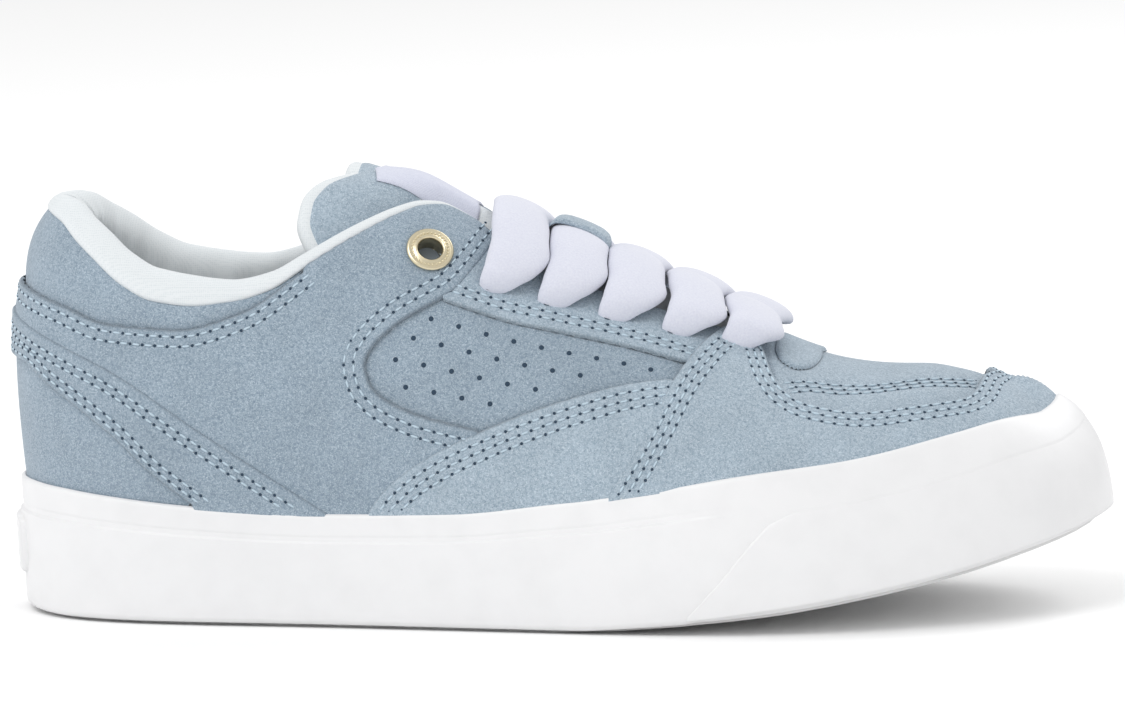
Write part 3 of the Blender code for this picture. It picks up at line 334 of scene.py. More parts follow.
class Last:
    """The form that the upper is drawn on, set in the shoe's own frame."""

    def __init__(self) -> None:
        """Work out the section curves and where the last stands."""
        def outline(row: int, side: int) -> list[float]:
            """Foot of the wall, x and y."""
            half = column(row, "inner") if side > 0 else -column(row, "outer")
            return [column(row, "x") * LENGTH, half * BALL_WIDTH]

        def ridge(row: int, side: int) -> list[float]:
            """Point on the ridge over the foot, the same from both sides."""
            return [column(row, "ridge_x") * LENGTH, column(row, "ridge_y") * MM,
                    column(row, "ridge_z") * HEEL_HEIGHT]

        def wall(row: int, side: int) -> list[float]:
            """Lean, rise, crown and top angle of the wall line."""
            return [column(row, "lean"), column(row, "rise"), column(row, "crown"),
                    math.radians(column(row, "top"))]

        self.outline_curve = LoopCurve(round_the_loop(outline))
        self.ridge_curve = LoopCurve(round_the_loop(ridge))
        self.wall_curve = LoopCurve(round_the_loop(wall))
        self.underside = Curve([(share * LENGTH, high * MM) for share, high in SPRING])
        self.seam_wall = Curve(COLLAR_SEAM)
        self.foxing_wall = Curve(FOXING_TOP)
        self.shift = np.zeros(3)
        low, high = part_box("outsole")
        rows = np.linspace(0, LOOP, 2600, endpoint=False)
        rim = self.plan(rows, FOXING_BASE + GAP)[0]
        for axis in (0, 1):
            middle = (rim[:, axis].min() + rim[:, axis].max()) / 2
            self.shift[axis] = (low[axis] + high[axis]) / 2 - middle

    def plan(self, s: np.ndarray, inset: float = 0.0) -> tuple[np.ndarray, np.ndarray]:
        """Outline of the sole, moved in by inset, before the shift.

        Args:
            s: rows.
            inset: distance inwards, in metres.

        Returns:
            Points and outward directions, both flat.
        """
        here = self.outline_curve(s)
        along = self.outline_curve(np.asarray(s) + 1e-3) - self.outline_curve(np.asarray(s) - 1e-3)
        out = unit(stack(along[..., 1], -along[..., 0]))
        return here - out * np.asarray(inset)[..., None], out

    def bare(self, s: np.ndarray, v: np.ndarray) -> np.ndarray:
        """Point of the last before the shift, a cubic curve up each wall line.

        Args:
            s: rows on the last.
            v: wall shares.

        Returns:
            Points in metres.
        """
        s, v = np.broadcast_arrays(np.asarray(s, float), np.asarray(v, float))
        foot, out = self.plan(s, FOXING_BASE)
        base = stack(foot[..., 0], foot[..., 1], self.underside(foot[..., 0]) + SOLE_RISE)
        ridge = self.ridge_curve(s)
        lean, rise, crown, top = np.moveaxis(self.wall_curve(s), -1, 0)
        height = ridge[..., 2] - base[..., 2]
        span = ridge[..., :2] - base[..., :2]
        width = np.linalg.norm(span, axis=-1)
        way = unit(span)
        row = np.clip(outer_row(s), 0.02, TOE - 0.02)
        turn = self.ridge_curve(row + 1e-3) - self.ridge_curve(row - 1e-3)
        slope = np.clip(turn[..., 2] / turn[..., 0], -2.0, 2.0) * np.clip(row / 4.0, 0, 1) ** 2
        low = base + stack(out[..., 0] * lean * height, out[..., 1] * lean * height, rise * height)
        climb = np.cos(top) ** 2 * slope * way[..., 0] + np.sin(top)
        high = ridge - (crown * width)[..., None] * stack(way[..., 0] * np.cos(top),
                                                          way[..., 1] * np.cos(top), climb)
        v = v[..., None]
        return ((1 - v) ** 3 * base + 3 * (1 - v) ** 2 * v * low
                + 3 * (1 - v) * v**2 * high + v**3 * ridge)

    def normal(self, s: np.ndarray, v: np.ndarray) -> np.ndarray:
        """Outward normal; on the ridge both sides share one.

        Args:
            s: rows on the last.
            v: wall shares.

        Returns:
            Unit normals.
        """
        step = 2e-3
        s, v = np.broadcast_arrays(np.asarray(s, float), np.asarray(v, float))

        def one_side(row: np.ndarray) -> np.ndarray:
            """Normal of one side alone.

            Args:
                row: rows on the last.

            Returns:
                Unit normals.
            """
            level = np.minimum(v, 0.985)
            along = self.bare(row + step, level) - self.bare(row - step, level)
            up = (self.bare(row, np.minimum(v + step, 1.0))
                  - self.bare(row, np.maximum(v - step, 0.0)))
            return unit(np.cross(along, up))

        here = one_side(s)
        there = one_side(LOOP - s)
        blend = smooth_share(v, 0.97, 1.0)[..., None] * 0.5
        return unit(here * (1 - blend) + there * blend)

    def relief(self, s: np.ndarray, v: np.ndarray) -> np.ndarray:
        """Soft troughs and the padded puff over the collar panel, in metres.

        Args:
            s: rows on the last.
            v: wall shares.

        Returns:
            Heights outwards.
        """
        row = outer_row(s)
        total = np.zeros(np.shape(row))
        for crease in CREASES:
            named = dict(zip(CREASE_COLUMNS, crease))
            a = np.array([named["row_a"] * 22.0, named["wall_a"] * 95.0])
            b = np.array([named["row_b"] * 22.0, named["wall_b"] * 95.0])
            spot = stack(row * 22.0, np.asarray(v) * 95.0)
            along = np.clip(((spot - a) @ (b - a)) / ((b - a) @ (b - a)), 0.0, 1.0)
            away = np.linalg.norm(spot - a - along[..., None] * (b - a), axis=-1)
            total = total - named["depth"] * np.exp(-(away / named["width"]) ** 2)
        low = Curve(QUARTER_TOP)(np.minimum(row, 4.1))
        high = self.seam_wall(np.minimum(row, 4.1))
        share = np.clip((v - low) / np.maximum(high - low, 0.02), 0.0, 1.0)
        puff = 4 * share * (1 - share) * (1 - smooth_share(row, 3.2, 4.1))
        return (total + 1.1 * puff) * MM

    def at(self, s: np.ndarray, v: np.ndarray, out: np.ndarray = 0.0,
           soft: float = 1.0) -> np.ndarray:
        """Point in the shoe's frame at a distance outside the last.

        Args:
            s: rows.
            v: shares up the wall.
            out: distance outside the last, in metres.
            soft: share of the soft relief that is added.

        Returns:
            Points.
        """
        lift = np.asarray(out, float) + soft * self.relief(s, v)
        return self.bare(s, v) + self.normal(s, v) * lift[..., None] + self.shift

    def sample(self, table: Table, step: float) -> np.ndarray:
        """Places along an edge table, evenly spaced on the last.

        Args:
            table: rows of (row, wall).
            step: spacing in metres.

        Returns:
            Array of (row, wall).
        """
        spots = np.array(table, float)
        run = np.linalg.norm(np.diff(spots * np.array([22.0, 95.0]), axis=0), axis=1)
        run = np.concatenate([[0.0], np.cumsum(run)])
        dense = np.linspace(0.0, run[-1], max(24, int(run[-1] * 2)))
        rows = Curve(list(zip(run, spots[:, 0])))(dense)
        walls = np.minimum(Curve(list(zip(run, spots[:, 1])))(dense), 1.0)
        solid = self.bare(rows, walls)
        length = np.linalg.norm(np.diff(solid, axis=0), axis=1)
        length = np.concatenate([[0.0], np.cumsum(length)])
        count = max(2, int(round(length[-1] / step)) + 1)
        even = np.linspace(0.0, length[-1], count)
        return np.stack([np.interp(even, length, rows), np.interp(even, length, walls)], -1)

    def sideways(self, line: np.ndarray, distance: float) -> np.ndarray:
        """A line moved to its left over the last, in small steps.

        Args:
            line: places as (row, wall).
            distance: metres to the left, negative to the right.

        Returns:
            Moved places.
        """
        steps = max(1, int(abs(distance) / 0.0012) + 1)
        part = distance / steps
        moved = line.copy()
        for _ in range(steps):
            s, v = moved[:, 0], moved[:, 1]
            low = np.clip(v, 0.004, 0.996)
            solid = self.bare(s, low)
            tangent = unit(np.gradient(solid, axis=0))
            left = unit(np.cross(self.normal(s, low), tangent))
            ds = (self.bare(s + 1e-3, low) - self.bare(s - 1e-3, low)) / 2e-3
            dv = (self.bare(s, low + 2e-3) - self.bare(s, low - 2e-3)) / 4e-3
            a = np.sum(ds * ds, -1)
            b = np.sum(ds * dv, -1)
            c = np.sum(dv * dv, -1)
            p = np.sum(ds * left, -1)
            q = np.sum(dv * left, -1)
            size = np.maximum(a * c - b * b, 1e-9)
            moved = moved + part * np.stack([(c * p - b * q) / size, (a * q - b * p) / size], -1)
        return moved


LAST = Last()


# Meshes

def make_object(name: str, vertices: np.ndarray, faces: Iterable, materials: Sequence,
                slots: Sequence[int] | None = None, corners: np.ndarray | None = None,
                values: dict[str, np.ndarray] | None = None) -> bpy.types.Object:
    """Object from points and faces, smooth shaded, with its place in its mesh.

    Args:
        name: the object's name.
        vertices: points.
        faces: corner lists.
        materials: materials in slot order.
        slots: material slot of each face.
        corners: one (u, v) for each face corner, in order.
        values: number attributes per point.

    Returns:
        The new object, linked to the scene.
    """
    mesh = bpy.data.meshes.new(name)
    mesh.from_pydata(np.asarray(vertices, float).tolist(), [], [list(map(int, f)) for f in faces])
    for material in materials:
        mesh.materials.append(material)
    if slots is not None:
        mesh.polygons.foreach_set("material_index", np.asarray(slots, dtype=np.int32))
    if corners is not None:
        layer = mesh.uv_layers.new(name="weave")
        layer.data.foreach_set("uv", np.asarray(corners, np.float32).ravel())
    for key, data in (values or {}).items():
        mesh.attributes.new(key, "FLOAT", "POINT").data.foreach_set(
            "value", np.asarray(data, np.float32))
    mesh.shade_smooth()
    mesh.validate()
    item = bpy.data.objects.new(name, mesh)
    bpy.context.scene.collection.objects.link(item)
    return item


def weld(item: bpy.types.Object, distance: float = 2e-5) -> bpy.types.Object:
    """Join points of an object that meet.

    Args:
        item: object to weld.
        distance: reach in metres.

    Returns:
        The same object.
    """
    work = bmesh.new()
    work.from_mesh(item.data)
    bmesh.ops.remove_doubles(work, verts=work.verts, dist=distance)
    work.to_mesh(item.data)
    work.free()
    item.data.shade_smooth()
    return item


def grid_faces(rows: int, columns: int, wrap_rows: bool = False,
               wrap_columns: bool = False) -> np.ndarray:
    """Quads of a grid of points, row after row.

    Args:
        rows: rows of points.
        columns: points in a row.
        wrap_rows: join the last row to the first.
        wrap_columns: join the last column to the first.

    Returns:
        Corner numbers, four for each face.
    """
    i = np.arange(rows if wrap_rows else rows - 1)[:, None]
    j = np.arange(columns if wrap_columns else columns - 1)[None, :]
    after_i = (i + 1) % rows
    after_j = (j + 1) % columns
    faces = np.stack([i * columns + j + 0 * after_i, after_i * columns + j,
                      after_i * columns + after_j, i * columns + after_j], -1)
    return faces.reshape(-1, 4)


def grid_corners(u: np.ndarray, v: np.ndarray, wrap_columns: bool) -> np.ndarray:
    """Corner coordinates for the quads of a grid, in metres along and across.

    Args:
        u: coordinate across, per point.
        v: coordinate along, per point.
        wrap_columns: whether the columns close.

    Returns:
        One pair per corner.
    """
    rows, columns = u.shape
    last_u = np.concatenate([u, 2 * u[:, -1:] - u[:, -2:-1]], axis=1) if wrap_columns else u
    last_v = np.concatenate([v, v[:, -1:]], axis=1) if wrap_columns else v
    count = columns if wrap_columns else columns - 1
    i, j = np.meshgrid(np.arange(rows - 1), np.arange(count), indexing="ij")
    quads = [(i, j), (i + 1, j), (i + 1, j + 1), (i, j + 1)]
    return np.stack([np.stack([last_u[a, b], last_v[a, b]], -1) for a, b in quads],
                    -2).reshape(-1, 2)


def nearest(cloud: np.ndarray, spots: np.ndarray) -> np.ndarray:
    """Distance from each spot to the nearest point of a cloud.

    Args:
        cloud: points to measure to.
        spots: points to measure from.

    Returns:
        One distance per spot.
    """
    if not len(cloud):
        return np.full(len(spots), 1.0)
    tree = KDTree(len(cloud))
    for k, point in enumerate(cloud):
        tree.insert(point, k)
    tree.balance()
    return np.array([tree.find(point)[2] for point in spots])


def inside(polygon: np.ndarray, spots: np.ndarray) -> np.ndarray:
    """Whether flat spots lie inside a closed polygon.

    Args:
        polygon: its flat corners in order.
        spots: flat places to test.

    Returns:
        True for each spot inside.
    """
    x, y = spots[:, 0][:, None], spots[:, 1][:, None]
    x1, y1 = polygon[:, 0][None], polygon[:, 1][None]
    x2, y2 = np.roll(polygon[:, 0], -1)[None], np.roll(polygon[:, 1], -1)[None]
    crossing = (y1 > y) != (y2 > y)
    at = (x2 - x1) * (y - y1) / np.where(y2 == y1, 1e-12, y2 - y1) + x1
    return np.sum(crossing & (x < at), axis=1) % 2 == 1


def triangulate(outline: np.ndarray, points: np.ndarray) -> tuple[np.ndarray, list]:
    """Triangles of a closed outline with points inside it.

    Args:
        outline: closed outline, flat.
        points: further points, flat.

    Returns:
        All points, and faces.
    """
    seeds = [Vector(p) for p in np.concatenate([outline, points])]
    result = delaunay_2d_cdt(seeds, [], [list(range(len(outline)))], 1, 1e-7)
    return np.array([tuple(p) for p in result[0]]), [list(face) for face in result[2]]


# Finishes

def linear(code: str) -> tuple[float, float, float, float]:
    """Linear colour of an sRGB hex code.

    Args:
        code: six hex digits.

    Returns:
        Red, green, blue and alpha.
    """
    parts = [int(code[k:k + 2], 16) / 255 for k in (0, 2, 4)]
    made = [c / 12.92 if c <= 0.04045 else ((c + 0.055) / 1.055) ** 2.4 for c in parts]
    return (*made, 1.0)


def put(tree: bpy.types.NodeTree, kind: str, values: dict | None = None,
        sources: dict | None = None, **settings: object) -> bpy.types.Node:
    """Add a node to a tree with its settings, socket values and links.

    Args:
        tree: tree to add to.
        kind: type name of the node.
        values: settings and socket values by name.
        sources: sockets to link by name.

    Returns:
        The node.
    """
    item = tree.nodes.new(kind)
    for key, value in settings.items():
        setattr(item, key, value)
    for key, value in (values or {}).items():
        item.inputs[key].default_value = value
    for key, source in (sources or {}).items():
        tree.links.new(source, item.inputs[key])
    return item


def new_material(name: str) -> tuple[bpy.types.Material, bpy.types.NodeTree, bpy.types.Node]:
    """Empty material with its shader linked to the output.

    Args:
        name: name of the material.

    Returns:
        Material, node tree and shader node.
    """
    material = bpy.data.materials.new(name)
    material.use_nodes = True
    tree = material.node_tree
    tree.nodes.clear()
    shader = put(tree, "ShaderNodeBsdfPrincipled")
    put(tree, "ShaderNodeOutputMaterial", sources={"Surface": shader.outputs["BSDF"]})
    return material, tree, shader


@dataclass(frozen=True)
class Suede:
    """Split leather, buffed to a short nap: matt, mottled, pale at the tips of the nap."""

    name: str
    colour: str
    shade: str
    tip: str
    grain: float = 0.75
    nap: float = 0.32

    def build(self) -> bpy.types.Material:
        """Make the material: mottled colour, nap bump and soft sheen.

        Returns:
            The material.
        """
        material, tree, shader = new_material(self.name)
        spot = put(tree, "ShaderNodeTexCoord").outputs["Object"]
        # Nap clumps are 0.5 to 0.8 mm across, drawn at their real size
        grain = put(tree, "ShaderNodeTexNoise", {"Scale": 1 / (self.grain * MM), "Detail": 3.0,
                                                 "Roughness": 0.65}, {"Vector": spot})
        nap = put(tree, "ShaderNodeTexNoise", {"Scale": 1 / (self.nap * MM), "Detail": 2.0},
                  {"Vector": spot})
        patch = put(tree, "ShaderNodeTexNoise", {"Scale": 1 / (14 * MM), "Detail": 3.0},
                    {"Vector": spot})
        clump = put(tree, "ShaderNodeMapRange", {"From Min": 0.36, "From Max": 0.64},
                    {"Value": grain.outputs["Fac"]})
        deep = put(tree, "ShaderNodeMix", {"A": linear(self.shade), "B": linear(self.colour)},
                   {"Factor": clump.outputs["Result"]}, data_type="RGBA")
        tips = put(tree, "ShaderNodeMapRange", {"From Min": 0.50, "From Max": 0.74, "To Max": 0.85},
                   {"Value": nap.outputs["Fac"]})
        top = put(tree, "ShaderNodeMix", {"B": linear(self.tip)},
                  {"Factor": tips.outputs["Result"], "A": deep.outputs["Result"]},
                  data_type="RGBA")
        cloud = put(tree, "ShaderNodeMapRange", {"From Min": 0.3, "From Max": 0.7, "To Min": 0.95,
                                                 "To Max": 1.05}, {"Value": patch.outputs["Fac"]})
        edge = put(tree, "ShaderNodeAttribute", attribute_name="edge")
        rim = put(tree, "ShaderNodeMapRange", {"From Min": 0.20, "From Max": 0.85, "To Min": 0.66},
                  {"Value": edge.outputs["Fac"]})
        tone = put(tree, "ShaderNodeMath", None, {0: cloud.outputs["Result"],
                                                  1: rim.outputs["Result"]}, operation="MULTIPLY")
        final = put(tree, "ShaderNodeVectorMath", None, {0: top.outputs["Result"]},
                    operation="SCALE")
        tree.links.new(tone.outputs[0], final.inputs["Scale"])
        tree.links.new(final.outputs[0], shader.inputs["Base Color"])
        height = put(tree, "ShaderNodeMath", {1: 0.6}, {0: grain.outputs["Fac"],
                                                        2: nap.outputs["Fac"]},
                     operation="MULTIPLY_ADD")
        bump = put(tree, "ShaderNodeBump", {"Strength": 0.85, "Distance": 0.32 * MM},
                   {"Height": height.outputs[0]})
        tree.links.new(bump.outputs["Normal"], shader.inputs["Normal"])
        shader.inputs["Roughness"].default_value = 0.95
        shader.inputs["Specular IOR Level"].default_value = 0.15
        shader.inputs["Sheen Weight"].default_value = 0.34
        shader.inputs["Sheen Roughness"].default_value = 0.5
        shader.inputs["Sheen Tint"].default_value = linear("eceef0")
        return material


@dataclass(frozen=True)
class Knit:
    """Polyester spacer mesh over foam: a fine knit with rows of small hollows."""

    name: str
    colour: str
    shade: str
    pitch: float = 0.55

    def build(self) -> bpy.types.Material:
        """Make the material: knit hollows in colour and bump.

        Returns:
            The material.
        """
        material, tree, shader = new_material(self.name)
        spot = put(tree, "ShaderNodeTexCoord").outputs["Object"]
        # The knit repeats every 0.55 mm, about its real size
        cells = put(tree, "ShaderNodeTexVoronoi", {"Scale": 1 / (self.pitch * MM),
                                                   "Randomness": 0.25}, {"Vector": spot})
        pit = put(tree, "ShaderNodeMapRange", {"From Min": 0.15, "From Max": 0.55},
                  {"Value": cells.outputs["Distance"]})
        colour = put(tree, "ShaderNodeMix", {"A": linear(self.shade), "B": linear(self.colour)},
                     {"Factor": pit.outputs["Result"]}, data_type="RGBA")
        tree.links.new(colour.outputs["Result"], shader.inputs["Base Color"])
        bump = put(tree, "ShaderNodeBump", {"Strength": 0.14, "Distance": 0.12 * MM},
                   {"Height": cells.outputs["Distance"]})
        tree.links.new(bump.outputs["Normal"], shader.inputs["Normal"])
        shader.inputs["Roughness"].default_value = 0.9
        shader.inputs["Specular IOR Level"].default_value = 0.2
        shader.inputs["Sheen Weight"].default_value = 0.1
        return material


@dataclass(frozen=True)
class Rubber:
    """Vulcanised white rubber, moulded and wiped: satin, with a faint waviness."""

    name: str
    colour: str
    grime: str
    roughness: float = 0.42

    def build(self) -> bpy.types.Material:
        """Make the material: faint grime in the colour, fine moulded bump.

        Returns:
            The material.
        """
        material, tree, shader = new_material(self.name)
        spot = put(tree, "ShaderNodeTexCoord").outputs["Object"]
        haze = put(tree, "ShaderNodeTexNoise", {"Scale": 1 / (9 * MM), "Detail": 4.0},
                   {"Vector": spot})
        tint = put(tree, "ShaderNodeMix", {"A": linear(self.grime), "B": linear(self.colour)},
                   data_type="RGBA")
        share = put(tree, "ShaderNodeMapRange", {"From Min": 0.20, "From Max": 0.60},
                    {"Value": haze.outputs["Fac"]})
        tree.links.new(share.outputs["Result"], tint.inputs["Factor"])
        tree.links.new(tint.outputs["Result"], shader.inputs["Base Color"])
        skin = put(tree, "ShaderNodeTexNoise", {"Scale": 1 / (1.6 * MM), "Detail": 3.0},
                   {"Vector": spot})
        bump = put(tree, "ShaderNodeBump", {"Strength": 0.10, "Distance": 0.2 * MM},
                   {"Height": skin.outputs["Fac"]})
        tree.links.new(bump.outputs["Normal"], shader.inputs["Normal"])
        gloss = put(tree, "ShaderNodeMapRange", {"To Min": self.roughness - 0.05,
                                                 "To Max": self.roughness + 0.08},
                    {"Value": haze.outputs["Fac"]})
        tree.links.new(gloss.outputs["Result"], shader.inputs["Roughness"])
        shader.inputs["IOR"].default_value = 1.52
        return material


@dataclass(frozen=True)
class Webbing:
    """Soft cotton webbing, brushed: a fine chevron weave under a short fuzz."""

    name: str
    colour: str
    shade: str
    rib: float = 1.1
    relief: float = 0.03

    def build(self) -> bpy.types.Material:
        """Make the material: chevron ribs on the piece's own map, fuzz in the bump.

        Returns:
            The material.
        """
        material, tree, shader = new_material(self.name)
        weave = put(tree, "ShaderNodeUVMap", uv_map="weave").outputs["UV"]
        spot = put(tree, "ShaderNodeTexCoord").outputs["Object"]
        split = put(tree, "ShaderNodeSeparateXYZ", None, {0: weave})
        # Ribs at their real size, nearly lost under the fuzz
        fold = put(tree, "ShaderNodeMath", {1: 2.4 * MM}, {0: split.outputs["X"]},
                   operation="PINGPONG")
        slant = put(tree, "ShaderNodeMath", None, {0: split.outputs["Y"], 1: fold.outputs[0]},
                    operation="ADD")
        wave = put(tree, "ShaderNodeMath", {1: math.tau / (self.rib * MM)},
                   {0: slant.outputs[0]}, operation="MULTIPLY")
        rib = put(tree, "ShaderNodeMath", None, {0: wave.outputs[0]}, operation="SINE")
        fuzz = put(tree, "ShaderNodeTexNoise", {"Scale": 1 / (0.5 * MM), "Detail": 4.0},
                   {"Vector": spot})
        height = put(tree, "ShaderNodeMath", {1: self.relief}, {0: rib.outputs[0],
                                                                2: fuzz.outputs["Fac"]},
                     operation="MULTIPLY_ADD")
        share = put(tree, "ShaderNodeMapRange", {"From Min": 0.2, "From Max": 0.75},
                    {"Value": height.outputs[0]})
        colour = put(tree, "ShaderNodeMix", {"A": linear(self.shade), "B": linear(self.colour)},
                     {"Factor": share.outputs["Result"]}, data_type="RGBA")
        tree.links.new(colour.outputs["Result"], shader.inputs["Base Color"])
        bump = put(tree, "ShaderNodeBump", {"Strength": 0.35, "Distance": 0.22 * MM},
                   {"Height": height.outputs[0]})
        tree.links.new(bump.outputs["Normal"], shader.inputs["Normal"])
        shader.inputs["Roughness"].default_value = 0.9
        shader.inputs["Specular IOR Level"].default_value = 0.2
        shader.inputs["Sheen Weight"].default_value = 0.35
        shader.inputs["Sheen Roughness"].default_value = 0.5
        return material


@dataclass(frozen=True)
class Metal:
    """Brass with a thin pale plating, tumbled: warm, bright, softly scratched."""

    name: str
    colour: str
    roughness: float = 0.28

    def build(self) -> bpy.types.Material:
        """Make the material: plating that is a little uneven in gloss.

        Returns:
            The material.
        """
        material, tree, shader = new_material(self.name)
        spot = put(tree, "ShaderNodeTexCoord").outputs["Object"]
        wear = put(tree, "ShaderNodeTexNoise", {"Scale": 1 / (0.8 * MM), "Detail": 4.0},
                   {"Vector": spot})
        gloss = put(tree, "ShaderNodeMapRange", {"To Min": self.roughness - 0.08,
                                                 "To Max": self.roughness + 0.15},
                    {"Value": wear.outputs["Fac"]})
        tree.links.new(gloss.outputs["Result"], shader.inputs["Roughness"])
        bump = put(tree, "ShaderNodeBump", {"Strength": 0.2, "Distance": 0.05 * MM},
                   {"Height": wear.outputs["Fac"]})
        tree.links.new(bump.outputs["Normal"], shader.inputs["Normal"])
        shader.inputs["Base Color"].default_value = linear(self.colour)
        shader.inputs["Metallic"].default_value = 1.0
        return material


@dataclass(frozen=True)
class Plain:
    """Polyester thread, or painted shade inside a hole: one colour, a fine twist in the bump."""

    name: str
    colour: str
    roughness: float = 0.7

    def build(self) -> bpy.types.Material:
        """Make the material.

        Returns:
            The material.
        """
        material, tree, shader = new_material(self.name)
        spot = put(tree, "ShaderNodeTexCoord").outputs["Object"]
        twist = put(tree, "ShaderNodeTexNoise", {"Scale": 1 / (0.3 * MM), "Detail": 2.0},
                    {"Vector": spot})
        bump = put(tree, "ShaderNodeBump", {"Strength": 0.3, "Distance": 0.08 * MM},
                   {"Height": twist.outputs["Fac"]})
        tree.links.new(bump.outputs["Normal"], shader.inputs["Normal"])
        shader.inputs["Base Color"].default_value = linear(self.colour)
        shader.inputs["Roughness"].default_value = self.roughness
        return material


class Finish(Enum):
    """Every finish of the shoe."""

    SUEDE = Suede("suede_nap", "98a7b4", "7c8d9c", "bfccd6")
    SUEDE_PALE = Suede("suede_nap_pale", "a8b7c3", "8a9ba9", "cad5de")
    LINING = Knit("spacer_mesh", "dadee0", "cdd3d6")
    SOCK = Knit("sock_cloth", "d6dfe3", "c8d1d6", 0.9)
    RUBBER = Rubber("moulded_rubber", "e4e4e5", "e0e0e1")
    TREAD = Rubber("tread_rubber", "dcdcdc", "d6d6d6", 0.55)
    LACE = Webbing("brushed_webbing", "d6d8e2", "c9cbd9")
    LABEL = Webbing("label_weave", "cfd2df", "c2c5d5", 0.6, 0.16)
    METAL = Metal("plated_brass", "d8cdb0")
    THREAD = Plain("stitch_thread", "b7c9d5", 0.6)
    # Painted shade: a dark colour for the insides of lace holes, punched holes and needle holes
    HOLE_SHADE = Plain("punched_hole_shade", "2a3d4f", 0.9)
    # Painted shade: a grey-blue colour for the shaded inside of each metal eyelet
    HOLLOW_SHADE = Plain("hollow_shade", "7d8894", 0.9)

    def material(self) -> bpy.types.Material:
        """The finish's material, made once."""
        return bpy.data.materials.get(self.value.name) or self.value.build()


def dress(item: bpy.types.Object, slot: str, *nodes: str) -> bpy.types.Object:
    """Set a piece on the shoe's body and hide the solids that it stands for.

    Args:
        item: the piece.
        slot: not used.
        nodes: solids that it replaces.

    Returns:
        The same piece.
    """
    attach(item, "root")
    if nodes:
        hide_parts(*nodes)
    LOG.info("%s: %d faces", item.name, len(item.data.polygons))
    return item


# Upper

@dataclass(frozen=True)
class StitchLine:
    """A row of stitches as places on the last, and the height that it lies at."""

    places: np.ndarray
    level: float


class EdgeKind(Enum):
    """What happens at a panel's edge."""

    ROLLED = "turned down onto the layer below"
    TUCKED = "runs on under its neighbour"
    SEAM = "meets its other half"


@dataclass(frozen=True)
class Edge:
    """Part of a panel's outline, with its rows of stitches in mm from the edge."""

    table: Table
    kind: EdgeKind = EdgeKind.ROLLED
    rows: tuple[float, ...] = ()


